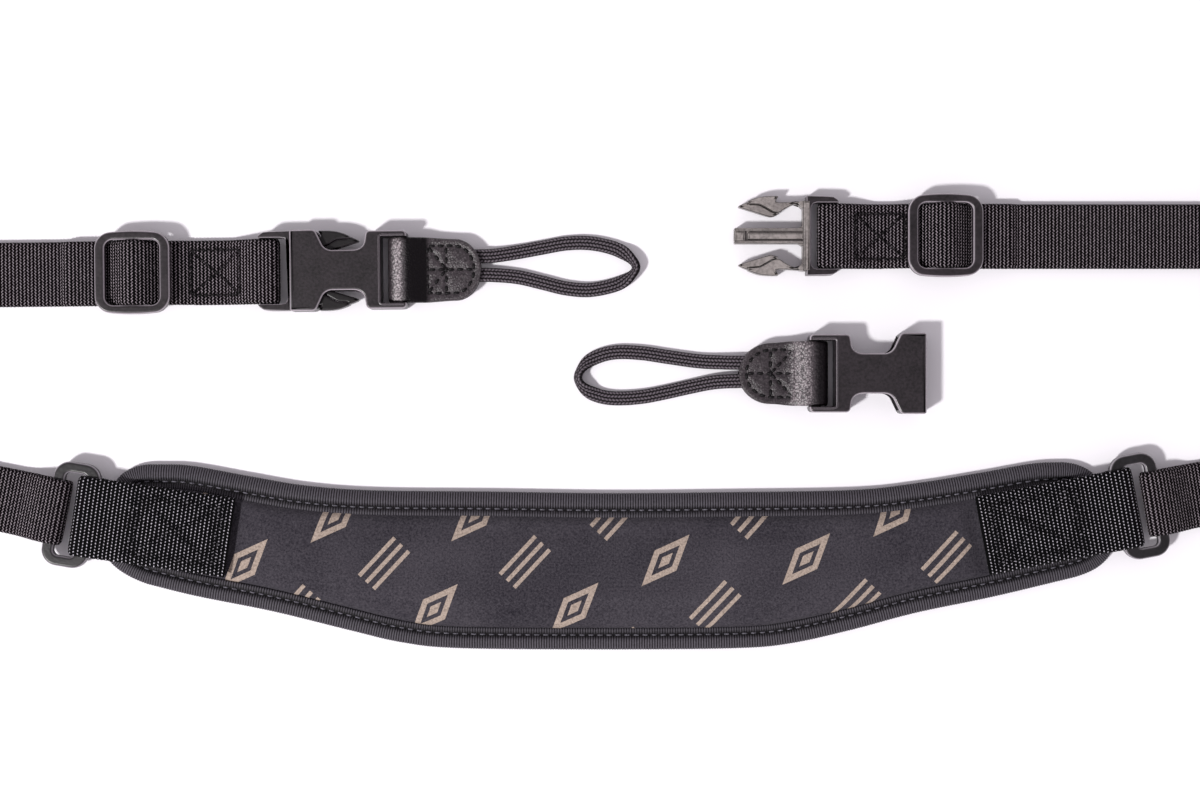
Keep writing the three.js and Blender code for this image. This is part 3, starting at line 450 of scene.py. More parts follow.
speckle = node("Math:ADD", heather, clouds)
yarn = node("ValToRGB", speckle, stops={0.34: "#1c1a21", 0.68: "#454248"})
printed = node("ValToRGB", heather, stops={0.3: "#70645c", 0.66: "#ab9c91"})
patchy = node("Math:MULTIPLY", ink, node("Math:MULTIPLY_ADD", heather, 1.4, 0.35, use_clamp=True))
cloth = node("Mix", patchy, data_type="RGBA", A_Color=yarn, B_Color=printed)
loops = node("TexVoronoi", millimetres, Scale=1.25, Randomness=0.55)
node("OutputMaterial", node(
    "BsdfPrincipled", cloth.outputs[2], Roughness=0.92, Sheen_Weight=0.06, Sheen_Roughness=0.5,
    Specular_IOR_Level=0.1, Normal=node("Bump", Strength=0.35, Distance=0.3 * MM, Height=loops),
))


def swell(piece, held_points, pressure, frames):
    """Blows a closed piece up as cloth, with some of its points held, and returns its points."""
    group = piece.vertex_groups.new(name="held")
    group.add(np.flatnonzero(held_points).tolist(), 1.0, "REPLACE")
    cloth = piece.modifiers.new("swell", "CLOTH")
    cloth.settings.vertex_group_mass = "held"
    cloth.settings.use_pressure = True
    cloth.settings.uniform_pressure_force = pressure
    cloth.settings.effector_weights.gravity = 0
    cloth.settings.quality = 5
    cloth.point_cache.frame_end = frames
    for moment in range(1, frames + 1):
        bpy.context.scene.frame_set(moment)
    blown = piece.evaluated_get(bpy.context.evaluated_depsgraph_get()).to_mesh()
    points = np.empty(len(blown.vertices) * 3)
    blown.vertices.foreach_get("co", points)
    piece.modifiers.remove(cloth)
    piece.vertex_groups.remove(group)
    bpy.context.scene.frame_set(1)
    return points.reshape(-1, 3)


pad = add_piece("neck_pad_jersey", pad_points, pad_quads, printed_jersey, ["neck_pad"])
free = (1 - pressed).ravel()
held = ((inset < lip_to + RISE_FROM) | (pressed > 0.15)).ravel()
blown = swell(pad, np.concatenate([held, np.ones(inset.size, bool)]), pressure=4.0, frames=20)
lift = np.clip((blown / MM - pad_points)[:, 2], 0, PAD_SWELL)
lift[: inset.size] *= free
pad_points[:, 2] += lift
pad.data.vertices.foreach_set("co", (pad_points * MM).ravel())
pad.data.update()


# Edge binding: ribbed stretch tape folded round the foam's rim and lockstitched through, so that
# it rolls over the edge outside the stitch line and lies as a thin lip inside it.

RIB_PITCH, RIB_PROUD, RIB_SUNK = 0.8, 0.17, 0.08
RIB_SHAPE = np.array([0.0, 0.62, 1.0, 0.62])  # heights at even steps over one rib
RIB_STEP = RIB_PITCH / len(RIB_SHAPE)
ROLL_CENTRE = (2.9, 1.9)
STITCH_INSET, STITCH_LEVEL, STITCH_STEP = 4.35, 3.05, 0.3
BINDING_STITCH, BINDING_STITCH_PITCH, BINDING_THREAD = 1.7, 2.8, 0.55
# Inwards from the rim, up, how far the ribs stand out there, and how much light the groove gets
TAPE_SECTION = np.array([
    (6.3, 2.9, 0.4, 1), (6.25, 3.2, 0.8, 1), (5.8, 3.42, 1, 1), (5.0, 3.3, 1, 0.6),
    (4.5, 2.85, 0.5, 0.25), (4.15, 2.85, 0.5, 0.25), (3.75, 3.5, 1, 0.6), (3.1, 3.85, 1, 1),
    (2.3, 3.85, 1, 1), (1.5, 3.6, 1, 1), (0.8, 3.15, 1, 1), (0.3, 2.5, 1, 1), (0.1, 1.9, 1, 1),
    (0.3, 1.1, 1, 1), (0.9, 0.45, 1, 1), (1.7, 0.12, 0.6, 1), (3.0, 0.05, 0, 1),
    (4.4, 0.05, 0, 1), (6.3, 0.05, 0, 1), (6.3, 0.8, 0, 1), (1.6, 0.9, 0, 1), (1.6, 2.6, 0, 1),
])
tape_outline, outer, groove = TAPE_SECTION[:, :2], TAPE_SECTION[:, 2], TAPE_SECTION[:, 3]

rim_line = evenly(closed(pad_rim), RIB_STEP)[:-1]
rim_share = np.concatenate([
    np.zeros(COLUMNS), end_share[:, 0], np.ones(COLUMNS), end_share[::-1, 0], [0]
])
rim_share = np.interp(distances_along(rim_line), distances_along(closed(pad_rim)), rim_share)
spread = (LIP_LOWER + (LIP_UPPER - LIP_LOWER) * rim_share) / LIP_DRAWN
rim_in = inward(rim_line)
for _ in range(20):
    rim_in = unit(rim_in + np.roll(rim_in, 1, axis=0) + np.roll(rim_in, -1, axis=0))
rib = RIB_SHAPE[np.arange(len(rim_line)) % len(RIB_SHAPE), None]
section = tape_outline * np.stack([spread, np.ones(len(spread))], axis=-1)[:, None]
proud = (rib * RIB_PROUD - RIB_SUNK) * outer
section = section + unit(tape_outline - ROLL_CENTRE) * proud[..., None]
middle, across = (np.insert(v, 2, 0, axis=1) for v in (rim_line, rim_in))
points, quads = swept(middle, across, UPWARDS, section, closed_run=True)
rib_at = np.arange(len(rim_line))[:, None] * RIB_STEP

# Ribbed stretch tape: soft dark yarn, painted lighter on the crowns of its ribs as a painted
# highlight and darker in the stitch groove as painted shade
ribbed_stretch_tape, node = new_material("ribbed_stretch_tape")
run_place, _, _, rib_light = run_of(node)
fibre = node("TexNoise", run_place, Scale=1.6, Detail=4.0, Roughness=0.7)
fibre = node("Math:MULTIPLY_ADD", fibre, 0.9, -0.45)
lit = node("Math:ADD", rib_light, fibre)
node("OutputMaterial", node(
    "BsdfPrincipled", node("ValToRGB", lit, stops={0.2: "#060407", 1: "#514e55"}),
    Roughness=0.65, Sheen_Weight=0.03, Specular_IOR_Level=0.15,
))
binding = add_piece("binding_tape", points, [q[::-1] for q in quads], ribbed_stretch_tape,
                    ["edge_binding"],
                    run=(rib_at, tape_outline[:, 0], rib * groove))


def thread_material(name, dark, light):
    """Bonded nylon thread: twisted filaments, drawn coarser than real ones, slightly shiny."""
    material, node = new_material(name)
    strands = node("TexNoise", node("TexCoord").outputs["Object"], Scale=2.5 / MM, Detail=2.0)
    tone = node("ValToRGB", strands, stops={0.3: dark, 0.7: light})
    node("OutputMaterial", node("BsdfPrincipled", tone, Roughness=0.5, Specular_IOR_Level=0.2))
    return material


def ellipse(half_x, half_y, sides):
    angles = np.arange(sides) * 2 * math.pi / sides
    return np.stack([half_x * np.cos(angles), half_y * np.sin(angles)], axis=1)


def add_stitches(name, starts, ends, normals, thick, thread):
    """A piece of separate stitches, each a short bowed bead of thread sunk in its cloth."""
    sides, sunk = 6, 0.3
    normals = np.atleast_2d(normals)
    along = unit(ends - starts)
    across = np.cross(normals, along)
    share = np.array([0.0, 0.12, 0.5, 0.88, 1.0])[None, :, None]
    girth = np.array([0.45, 0.9, 1.0, 0.9, 0.45])[None, :, None, None]
    bow = np.array([-0.6, 0.1, 0.35, 0.1, -0.6])[None, :, None]
    centre = starts[:, None] + (ends - starts)[:, None] * share
    centre = centre + normals[:, None] * (bow - sunk) * thick / 2
    points = centre[:, :, None]
    for way, reach in zip((across, normals), ellipse(thick / 2, thick / 2, sides).T):
        points = points + way[:, None, None] * reach[:, None] * girth
    per = share.size * sides
    base = np.arange(len(starts))[:, None] * per
    quads = [
        (r * sides + k, r * sides + j, (r + 1) * sides + j, (r + 1) * sides + k)
        for r in range(share.size - 1) for k, j in zip(range(sides), [*range(1, sides), 0])
    ]
    quads = (base[:, None] + np.array(quads)[None]).reshape(-1, 4)
    caps = np.vstack([base + np.arange(sides)[::-1], base + np.arange(per - sides, per)])
    faces = quads.tolist() + caps.tolist()
    return add_piece(name, points.reshape(-1, 3), faces, thread)


def on_line(line, at):
    """Points of a line at these counts of its steps."""
    return values_at(np.asarray(at) % (len(line) - 1), np.arange(len(line)), line)


black_thread = thread_material("black_bonded_nylon_thread", "#020102", "#0f0d10")
grey_thread = thread_material("grey_bonded_nylon_thread", "#29272d", "#6e6c75")
stitch_line = evenly(closed(rim_line + rim_in * spread[:, None] * STITCH_INSET), STITCH_STEP)
stitch_count = int(distances_along(stitch_line)[-1] / BINDING_STITCH_PITCH)
stitch_at = np.linspace(0, len(stitch_line) - 1, stitch_count + 1)[:-1]
starts, ends = (
    np.column_stack([on_line(stitch_line, at), np.full(stitch_count, STITCH_LEVEL)])
    for at in (stitch_at, stitch_at + BINDING_STITCH / STITCH_STEP)
)
stitches = add_stitches("binding_stitches", starts, ends, UPWARDS, BINDING_THREAD, grey_thread)


# Webbing tabs: coarse polypropylene webbing folded round the ring, both layers sewn down on the
# pad with a boxed cross. Its heavy picks stand out as ridges right across.

PICK_PITCH, PICK_RELIEF = 1.25, 0.3
TAB_WIDTH, TAB_THICK, TAB_FOLD, TAB_COLUMNS = 24.7, 1.5, 2.55, 28
TAB_GAP = 0.25
RING_LEVEL = 4.6
BINDING_HEIGHT = 3.8
PAD_END = {"left": 10.1, "right": 9.3}  # how far the pad's end lies behind the ring
TAB_SEAM_AT = 17  # how far the middle of the sewn box lies from the tab's end
TAB_SEAM = (13.0, 9.0, 4.0)  # half the box's length and width, and how narrow its lines are


def bend(centre, radius, start, stop, steps=14):
    """Points of an arc in a (distance, height) plane, angles in degrees."""
    angles = np.radians(np.linspace(start, stop, steps + 1))
    return [(centre[0] + radius * math.cos(a), centre[1] + radius * math.sin(a)) for a in angles]


def eased_path(points, step, rounds=1):
    """A path of straight stretches with its corners rounded, at an even step."""
    line = evenly(np.array(points, float), 0.25)
    for _ in range(rounds * 4):
        line[1:-1] = (line[:-2] + 2 * line[1:-1] + line[2:]) / 4
    return evenly(line, step)


def standing_strip(frame_at, path):
    """Middle, across and up of a strip whose line lies in one upright plane."""
    origin, along, across = frame_at
    middle = origin + along * path[:, :1] + UPWARDS * path[:, 1:]
    side_ways = np.tile(across, (len(path), 1))
    return middle, side_ways, unit(np.cross(unit(np.gradient(middle, axis=0)), side_ways))


def with_ends(points, quads, count):
    """The faces of a swept strip, closed at both ends."""
    return quads + [list(range(count))[::-1], list(range(len(points) - count, len(points)))]


def woven_strip(middle, across, up, width, thick, pitch, relief, columns, seam_at):
    """A ribbed webbing whose picks stand out right across both faces. Also gives its run."""
    length = distances_along(middle)
    share = np.concatenate([np.linspace(s, -s, columns + 1)[:-1] for s in (-1, 1)])
    selvedge = (1 - np.abs(share) ** 14) ** 0.6
    pick = (0.5 + 0.5 * np.cos(2 * np.pi * length / pitch))[:, None]
    height = (thick / 2 - relief) * (0.3 + 0.7 * selvedge) + relief * pick * selvedge
    loops = 0.15 * (pick - 0.5) * np.sign(share) * (np.abs(share) > 0.97)
    width_at = np.broadcast_to(share * width / 2, height.shape)
    section = np.stack([width_at + loops, np.repeat([1.0, -1.0], columns) * height], axis=-1)
    points, quads = swept(middle, across, up, section)
    run = (length[:, None] - round(seam_at / pitch) * pitch, width_at, 0)
    return points, with_ends(points, quads, 2 * columns), run


def pulled_in(node, along, across, half_long, half_wide, narrow):
    """How far a sewn box with its diagonals pulls the webbing in, 0 to 1, round run zero."""
    u, v = (
        node("Math:DIVIDE", node("Math:ABSOLUTE", way), half)
        for way, half in ((along, half_long), (across, half_wide))
    )
    outward = node("Math:MAXIMUM", u, v)
    box, cross = (
        node("Math:ABSOLUTE", node("Math:SUBTRACT", a, b))
        for a, b in ((outward, 1.0), (u, v))
    )
    outside = node("Math:MULTIPLY", node("Math:GREATER_THAN", outward, 1.0), 9.0)
    nearest = node("Math:MINIMUM", box, node("Math:ADD", cross, outside))
    nearest = node("Math:MULTIPLY", nearest, narrow)
    return node("Math:SUBTRACT", 1.0, nearest, use_clamp=True)


def webbing_material(name, pitch, knuckle_pitch, wander, nubs, seam, seam_shade, dark, mid, bright):
    """Woven synthetic webbing: black, with painted shade between the picks and thin pale painted
    highlights along their crowns.
    """
    material, node = new_material(name)
    run, along, across, _ = run_of(node)
    sewn = pulled_in(node, along, across, *seam)
    sway = node("Math:SINE", node("Math:MULTIPLY", across, 2 * math.pi / knuckle_pitch))
    fibre = node("TexNoise", run, Scale=1.1, Detail=5.0, Roughness=0.75)
    unrest = node("Math:MULTIPLY_ADD", sewn, 2.6, 0.45)
    shift = node("Math:MULTIPLY", node("Math:SUBTRACT", fibre, 0.5), unrest)
    swayed = node("Math:ADD", shift, node("Math:MULTIPLY_ADD", sway, wander, along))
    turns = node("Math:DIVIDE", swayed, pitch)
    pick = node("Math:POWER", wave(node, turns), 2.4)
    pick_no = node("Math:FLOOR", node("Math:ADD", turns, 0.5))
    parity = node("Math:FLOORED_MODULO", pick_no, 2.0)
    beside = node("Math:MULTIPLY", parity, 0.5)
    beside = node("Math:MULTIPLY_ADD", across, 1 / knuckle_pitch, beside)
    knuckle = node("Math:MULTIPLY_ADD", wave(node, beside), nubs, 1 - nubs)
    crown = node("Math:MULTIPLY", pick, knuckle)
    uneven = node("Math:MULTIPLY_ADD", fibre, 0.9, -0.45)
    lit = node("Math:ADD", crown, uneven)
    # Painted shade along the sewn box's lines, where the stitches pull the webbing in.
    pressed = node("Math:MULTIPLY_ADD", sewn, -seam_shade, 1.0)
    lit = node("Math:MULTIPLY", lit, pressed)
    # The ramp paints shade near black between the picks and a pale highlight on their crowns.
    node("OutputMaterial", node(
        "BsdfPrincipled", node("ValToRGB", lit, stops={0.14: dark, 0.5: mid, 0.95: bright}),
        Roughness=0.75, Sheen_Weight=0.01, Specular_IOR_Level=0.05,
        Normal=node("Bump", Strength=0.8, Distance=0.3 * MM, Height=crown),
    ))
    return material


coarse_webbing = webbing_material(
    "coarse_polypropylene_webbing", pitch=PICK_PITCH, knuckle_pitch=1.0, wander=0.04, nubs=0.75,
    seam=TAB_SEAM, seam_shade=0.1, dark="#010102", mid="#17151b", bright="#c0bdc5",
)
for side in SIGNS:
    low = BINDING_HEIGHT + TAB_GAP + TAB_THICK / 2
    high = low + TAB_THICK + TAB_GAP
    rim = -PAD_END[side]
    path = [
        (-TAB_LENGTH, low), (rim - 0.4, low), (rim + 0.4, low - 0.6),
        (-8, RING_LEVEL - TAB_FOLD + 0.35), (-6.8, RING_LEVEL - TAB_FOLD + 0.05),
        *bend((-3.9, RING_LEVEL), TAB_FOLD, -90, 90),
        (-6.8, RING_LEVEL + TAB_FOLD), (rim - 2, high), (-TAB_LENGTH - 0.6, high),
    ]
    frame_at = ground_frame(RINGS[side], heading_out(side, TAB_RISE[side]))
    strip = standing_strip(frame_at, eased_path(path, PICK_PITCH / 4))
    length = distances_along(strip[0])[-1]
    points, faces, run = woven_strip(*strip, TAB_WIDTH, TAB_THICK, PICK_PITCH, PICK_RELIEF,
                                     TAB_COLUMNS, length - TAB_SEAM_AT)
    tab = add_piece(f"tab_webbing_{side}", points, faces, coarse_webbing,
                    [f"tab_{side}"], run)


# Rings: one moulded acetal oblong on each side, with rounded bars. The tab's fold holds the inner
# bar and the strap runs round the outer one.

RING_LENGTH, RING_WIDTH, RING_BAR, RING_THICK = 32.6, 13.5, 3.3, 3.0
RING_SPREAD, RING_SHIFT = 0.6, 0.3  # extra half width, moved to make the pad's bar the wider one
RING_CORNER, RING_WINDOW_CORNER, RING_ROUND = 5.0, 1.6, 0.75
RING_RISE = {"left": 9.6, "right": 10.7}


def rounded_rectangle(half_x, half_y, radius, per_corner=10):
    """An anticlockwise outline with round corners."""
    outline = []
    for sx, sy, start in ((1, 1, 0), (-1, 1, 90), (-1, -1, 180), (1, -1, 270)):
        middle = (sx * (half_x - radius), sy * (half_y - radius))
        outline += bend(middle, radius, start, start + 90, per_corner - 1)
    return np.array(outline)


def clean_loop(outline):
    """The outline anticlockwise and without repeated points."""
    outline = np.array(outline, float)
    x, y = outline.T
    if np.sum(x * np.roll(y, -1) - np.roll(x, -1) * y) < 0:
        outline = outline[::-1]
    return outline[np.linalg.norm(outline - np.roll(outline, 1, axis=0), axis=1) > 1e-4]


def moulded_plate(outline, low, high, radius, steps=5, windows=()):
    """Points and faces of a flat moulding with rounded rims and straight windows through it."""
    rim = [(radius * (1 - math.sin(t)), radius * (1 - math.cos(t)))
           for t in np.radians(np.linspace(0, 90, steps + 1))]
    rows = [(radius + 0.25, low), *((shrink, low + rise) for shrink, rise in rim)]
    rows += [*((shrink, high - rise) for shrink, rise in rim[::-1]), (radius + 0.25, high)]
    points, faces, loops = [], [], []
    for loop in [clean_loop(outline), *(clean_loop(window)[::-1] for window in windows)]:
        first, count = len(points), len(loop)
        loops.append((first, count))
        for shrink, z in rows:
            points += [(*p, z) for p in loop + inward(loop) * shrink]
        for here in range(first, len(points) - count, count):
            for k, j in zip(range(count), [*range(1, count), 0]):
                faces.append((here + k, here + j, here + count + j, here + count + k))
    for row, faces_up in ((0, False), (len(rows) - 1, True)):
        rims = [range(first + row * count, first + (row + 1) * count) for first, count in loops]
        ids = [i for rim in rims for i in rim]
        for tri in tessellate_polygon([[Vector(points[i]) for i in rim] for rim in rims]):
            a, b, c = (ids[i] for i in tri)
            (ax, ay, _), (bx, by, _), (cx, cy, _) = points[a], points[b], points[c]
            upward = (bx - ax) * (cy - ay) - (by - ay) * (cx - ax) > 0
            faces.append((a, b, c) if upward == faces_up else (c, b, a))
    return np.array(points), faces


def joined(*parts):
    """Points and faces of several parts as one."""
    firsts = np.cumsum([0] + [len(points) for points, _ in parts]).tolist()
    faces = [[first + i for i in face] for first, part in zip(firsts, parts) for face in part[1]]
    return np.vstack([points for points, _ in parts]), faces


def set_at(points, frame_at, level):
    """Local (u, v, w) points set in a ground frame at a height."""
    origin, along, across = frame_at
    u, v, w = (points[:, k : k + 1] for k in range(3))
    return origin + u * along + v * across + (w + level) * UPWARDS


def add_moulding(name, part, frame_at, level, finish, nodes=(), sharp=35):
    points, faces = part
    add_piece(name, set_at(points, frame_at, level), faces, finish, nodes,
              sharp=sharp)


def moulded_plastic(name, dark, light, rim):
    """Injection-moulded acetal: spark texture, drawn coarser than a real one to be seen, a soft
    cloudy tone, and the rim colour painted on its rounded rims: a painted highlight where that
    colour is pale, painted edge shade where it is dark. The rims are also glossier."""
    material, node = new_material(name)
    place = node("TexCoord").outputs["Object"]
    grain = node("TexNoise", place, Scale=1.1 / MM, Detail=2.0, Roughness=0.6)
    cloud = node("TexNoise", place, Scale=0.11 / MM, Detail=4.0, Roughness=0.65)
    # Where the normal tilts, as on the rounded rims, the rim colour is painted on: a painted
    # highlight when it is pale, painted edge shade when it is dark.
    facing = node("SeparateXYZ", node("NewGeometry").outputs["Normal"]).outputs["Z"]
    level = node("Math:ABSOLUTE", facing)
    steep = node("Math:SUBTRACT", 1.0, level)
    rounding = node("Math:MULTIPLY", node("Math:MULTIPLY", level, steep), 4.0)
    painted_rim_light = node("Math:POWER", rounding, 2.0)
    speck = node("Math:MULTIPLY_ADD", grain, 0.9, node("Math:MULTIPLY", cloud, 0.8))
    tone = node("ValToRGB", speck, stops={0.55: dark, 1: light})
    painted_rim_tone = node("Mix", painted_rim_light, data_type="RGBA", A_Color=tone, B_Color=srgb(rim))
    node("OutputMaterial", node(
        "BsdfPrincipled", painted_rim_tone.outputs[2], Specular_IOR_Level=0.4,
        Roughness=node("Math:MULTIPLY_ADD", rounding, -0.16, 0.36),
        Normal=node("Bump", Strength=0.5, Distance=0.08 * MM, Height=grain),
    ))
    return material


# The pale rim colours of the satin and ring acetal are painted highlights.
satin_acetal = moulded_plastic("satin_moulded_acetal", "#070506", "#262125", "#a39ba3")
polished_acetal = moulded_plastic("polished_moulded_acetal", "#050405", "#1a181b", "#8f8a91")
outline = rounded_rectangle(RING_WIDTH / 2 + RING_SPREAD, RING_LENGTH / 2, RING_CORNER)
window = rounded_rectangle(RING_WIDTH / 2 - RING_BAR, RING_LENGTH / 2 - RING_BAR,
                           RING_WINDOW_CORNER)
ring = moulded_plate(outline - [RING_SHIFT, 0], -RING_THICK / 2, RING_THICK / 2, RING_ROUND,
                     windows=[window])
for side, centre in RINGS.items():
    frame_at = ground_frame(centre, heading_out(side, RING_RISE[side]))
    add_moulding(f"moulded_ring_{side}", ring, frame_at, RING_LEVEL, polished_acetal,
                 [f"ring_{side}"], sharp=40)


# Webbing straps: one 20 mm nylon webbing on each side. It is sewn round the slider's bar, goes
# through the ring and the slider, and ends folded round the buckle's bar and sewn in a box.

WEBBING_WIDTH, WEBBING_THICK, WEBBING_COLUMNS = 20.0, 1.3, 22
NYLON_PITCH, NYLON_RELIEF = 1.15, 0.24
GAP = 0.25
TWIST = 47  # length over which the webbing turns up on its edge
LEAD_OUT = {"left": 95, "right": 75}  # from the ring to the start of the turn
WEBBING_RISE = {"left": 11.4, "right": 9.8}  # degrees that the webbing points up the table
SLIDERS = {"left": (-146.8, 92.8), "right": (104.4, 104.3)}
TILT = {"left": 0.6, "right": 0.0}  # degrees
REACH = {"left": 38.8, "right": 32.8}  # from the slider's middle to the buckle's rear edge
LAYER = WEBBING_THICK + GAP
FIRST = WEBBING_THICK / 2  # levels of the layers of webbing
SECOND = FIRST + LAYER
THIRD = SECOND + LAYER + 0.1  # over the sewn end, with a little room
SLIDER_LENGTH, SLIDER_WIDTH, SLIDER_THICK = 23.2, 25.7, 3.2
SLIDER_LEVEL = THIRD + WEBBING_THICK / 2 + GAP + SLIDER_THICK / 2
SLIDER_BAR_LEVEL = 5.0
BUCKLE_LEVEL = {"left": 4.5, "right": 3.0}
CLEAR = 24  # from here on the webbing lies clear of ring and slider
BOX_SEAM = (8.2, 7.0)  # half the box's length and width
BOX_AT = {"left": 25.7, "right": 20.4}  # from the slider's middle
BOX_STITCH, BOX_STITCH_PITCH, BOX_THREAD = 1.3, 1.9, 0.38
woven_nylon = webbing_material(
    "woven_nylon_webbing", pitch=NYLON_PITCH, knuckle_pitch=0.95, wander=0.17, nubs=0.3,
    seam=(*BOX_SEAM, 8.0), seam_shade=0.25, dark="#010001", mid="#171116", bright="#9b9299",
)


def strap_plan(side):
    """The doubled webbing seen from above: straight out, half a turn, straight back."""
    sign, lead, tilt = SIGNS[side], LEAD_OUT[side], math.radians(TILT[side])
    heading = heading_out(side, WEBBING_RISE[side])
    out = ground_frame(RINGS[side], heading)
    back = ground_frame(SLIDERS[side], (math.pi if sign > 0 else 0) + tilt)
    turn_start = out[0] + out[1] * lead
    inwards, back_normal = out[2] * sign, back[2] * sign
    radius = (turn_start - back[0]) @ back_normal / (1 - inwards @ back_normal)
    centre = turn_start + inwards * radius
    turned = lead + radius * (math.pi - math.radians(WEBBING_RISE[side]) + tilt)
    total = turned + (back[0] - centre + back_normal * radius) @ back[1]
    return dict(out=out, back=back, centre=centre, radius=radius, heading=heading,
                turned=turned, total=total)


def doubled_station(side, plan, distance, layer):
    """Middle, across and up of a layer of the doubled webbing, which turns round on its edge."""
    sign, turn_from, turn_to = SIGNS[side], LEAD_OUT[side], plan["turned"]
    upright = ease(turn_from - TWIST, turn_from, distance)
    upright = upright * (1 - ease(turn_to, turn_to + TWIST, distance))
    if turn_from <= distance <= turn_to:
        heading = plan["heading"] + sign * (distance - turn_from) / plan["radius"]
        across = np.array([-math.sin(heading), math.cos(heading), 0.0])
        middle = plan["centre"] - across * sign * plan["radius"]
    else:
        straight, begun = ("out", 0) if distance < turn_from else ("back", plan["total"])
        origin, along, across = plan[straight]
        middle = origin + along * (distance - begun)
    angle = sign * upright * math.pi / 2
    side_ways = across * math.cos(angle) + UPWARDS * math.sin(angle)
    up = UPWARDS * math.cos(angle) - across * math.sin(angle)
    height = WEBBING_WIDTH / 2 * abs(math.sin(angle))
    height += (WEBBING_THICK + GAP / 2) * math.cos(angle)
    return np.concatenate([middle + UPWARDS * height + up * layer * LAYER / 2, side_ways, up])


def strap_line(side, plan):
    """Middle, across and up along the whole webbing, from its sewn end to the buckle's fold."""
    wrap, ring_wrap, buckle_wrap = 2.1, 2.4, 2.15  # radii to the webbing's middle
    bar, edge, reach, level = SLIDER_BAR_LEVEL, RING_WIDTH / 2, REACH[side], BUCKLE_LEVEL[side]
    over = bar + wrap + LAYER
    sewn_end = [
        (-20, SECOND), (-9.4, SECOND), (-7.6, SECOND + 0.15), (-2.2, bar + wrap - 0.65),
        (-0.6, bar + wrap), *bend((0.6, bar), wrap, 90, -90), (-1.5, bar - wrap - 0.2),
        (-7.5, FIRST + 0.15), (-10, FIRST), (-CLEAR, FIRST),
    ]
    ring_turn = [
        (CLEAR, FIRST), (edge + 8, FIRST), (edge + 0.6, RING_LEVEL - ring_wrap - 0.15),
        *bend((4.1, RING_LEVEL), ring_wrap, 270, 90), (edge, RING_LEVEL + ring_wrap),
        (edge + 3, RING_LEVEL + ring_wrap - 0.8), (edge + 9, SECOND + 0.6),
        (edge + 12.5, SECOND), (CLEAR, SECOND),
    ]
    through = [
        (-CLEAR, SECOND), (-23, SECOND), (-20.6, THIRD), (-9, THIRD), (-7.8, THIRD + 0.2),
        (-2.4, over - 0.5), (-0.8, over), (0.7, over + 0.02), (3.2, over - 1),
        (7.7, THIRD + 0.2), (9.2, THIRD), (12.4, THIRD - 0.4), (16.5, SECOND),
        (reach - 10, SECOND), (reach - 1.2, level + buckle_wrap),
        *bend((reach + 3.8, level), buckle_wrap, 90, -90), (reach - 0.5, level - buckle_wrap),
        (reach - 10, FIRST), (18, FIRST),
    ]
    first, middle, last = (
        np.hstack(standing_strip(plan[straight], eased_path(path, 0.3)))
        for straight, path in (("back", sewn_end), ("out", ring_turn), ("back", through))
    )
    distances = np.arange(CLEAR, plan["total"] - CLEAR, 1.0)
    lower = np.array([doubled_station(side, plan, d, -1) for d in distances[::-1]])
    lower[:, 6:] *= -1
    upper = np.array([doubled_station(side, plan, d, 1) for d in distances])
    whole = np.vstack([first, lower, middle, upper, last])
    length = distances_along(whole[:, :3])
    keep = np.concatenate([[True], np.diff(length) > 1e-3])
    at = np.arange(0, length[-1], NYLON_PITCH / 3)
    whole = values_at(at, length[keep], whole[keep])
    return whole[:, :3], unit(whole[:, 3:6]), unit(whole[:, 6:])


def run_at(middle, point):
    """The run of the uppermost station near a point of the ground."""
    close = np.hypot(*(middle[:, :2] - point[:2]).T)
    near = np.flatnonzero(close < close.min() + 0.4)
    return distances_along(middle)[near[np.argmax(middle[near, 2])]]


def laid_on(strip, along_at, across_at, lift):
    """Points over a strip's upper face, with its face's normals there."""
    middle, across, up = (values_at(along_at, distances_along(strip[0]), v) for v in strip)
    return middle + across * across_at[:, None] + unit(up) * lift, unit(up)


def seam_stitches(lines, stitch, pitch):
    """Where the stitches along some flat lines start and end."""
    starts, stops = [], []
    for line in lines:
        fine = evenly(np.array(line, float), 0.1)
        total = distances_along(fine)[-1]
        count = max(2, round(total / pitch))
        at = (np.arange(count) + 0.5) * total / count
        for ends, share in ((starts, -0.5), (stops, 0.5)):
            ends.append(on_line(fine, np.clip(at + share * stitch, 0, total - 0.1) / 0.1))
    return np.vstack(starts), np.vstack(stops)


half_long, half_wide = BOX_SEAM
corners = [(half_long, half_wide), (-half_long, half_wide), (-half_long, -half_wide),
           (half_long, -half_wide)]
box_lines = [corners + corners[:1], corners[::2], corners[1::2]]
plans = {}
for side in SIGNS:
    plans[side] = strap_plan(side)
    strip = strap_line(side, plans[side])
    origin, along, _ = plans[side]["back"]
    box_at = run_at(strip[0], origin + along * BOX_AT[side])
    points, faces, run = woven_strip(*strip, WEBBING_WIDTH, WEBBING_THICK, NYLON_PITCH,
                                     NYLON_RELIEF, WEBBING_COLUMNS, box_at)
    strap = add_piece(f"strap_webbing_{side}", points, faces, woven_nylon,
                      [f"webbing_{side}"], run)
    (starts, _), (stops, normals) = (
        laid_on(strip, box_at + spots[:, 0], spots[:, 1], WEBBING_THICK / 2)
        for spots in seam_stitches(box_lines, BOX_STITCH, BOX_STITCH_PITCH)
    )
    stitches = add_stitches(f"strap_stitches_{side}", starts, stops, normals, BOX_THREAD,
                            black_thread)


# Sliders: moulded acetal frames with a lower middle bar. The strap's end is sewn round the bar
# and the strap itself passes over it.

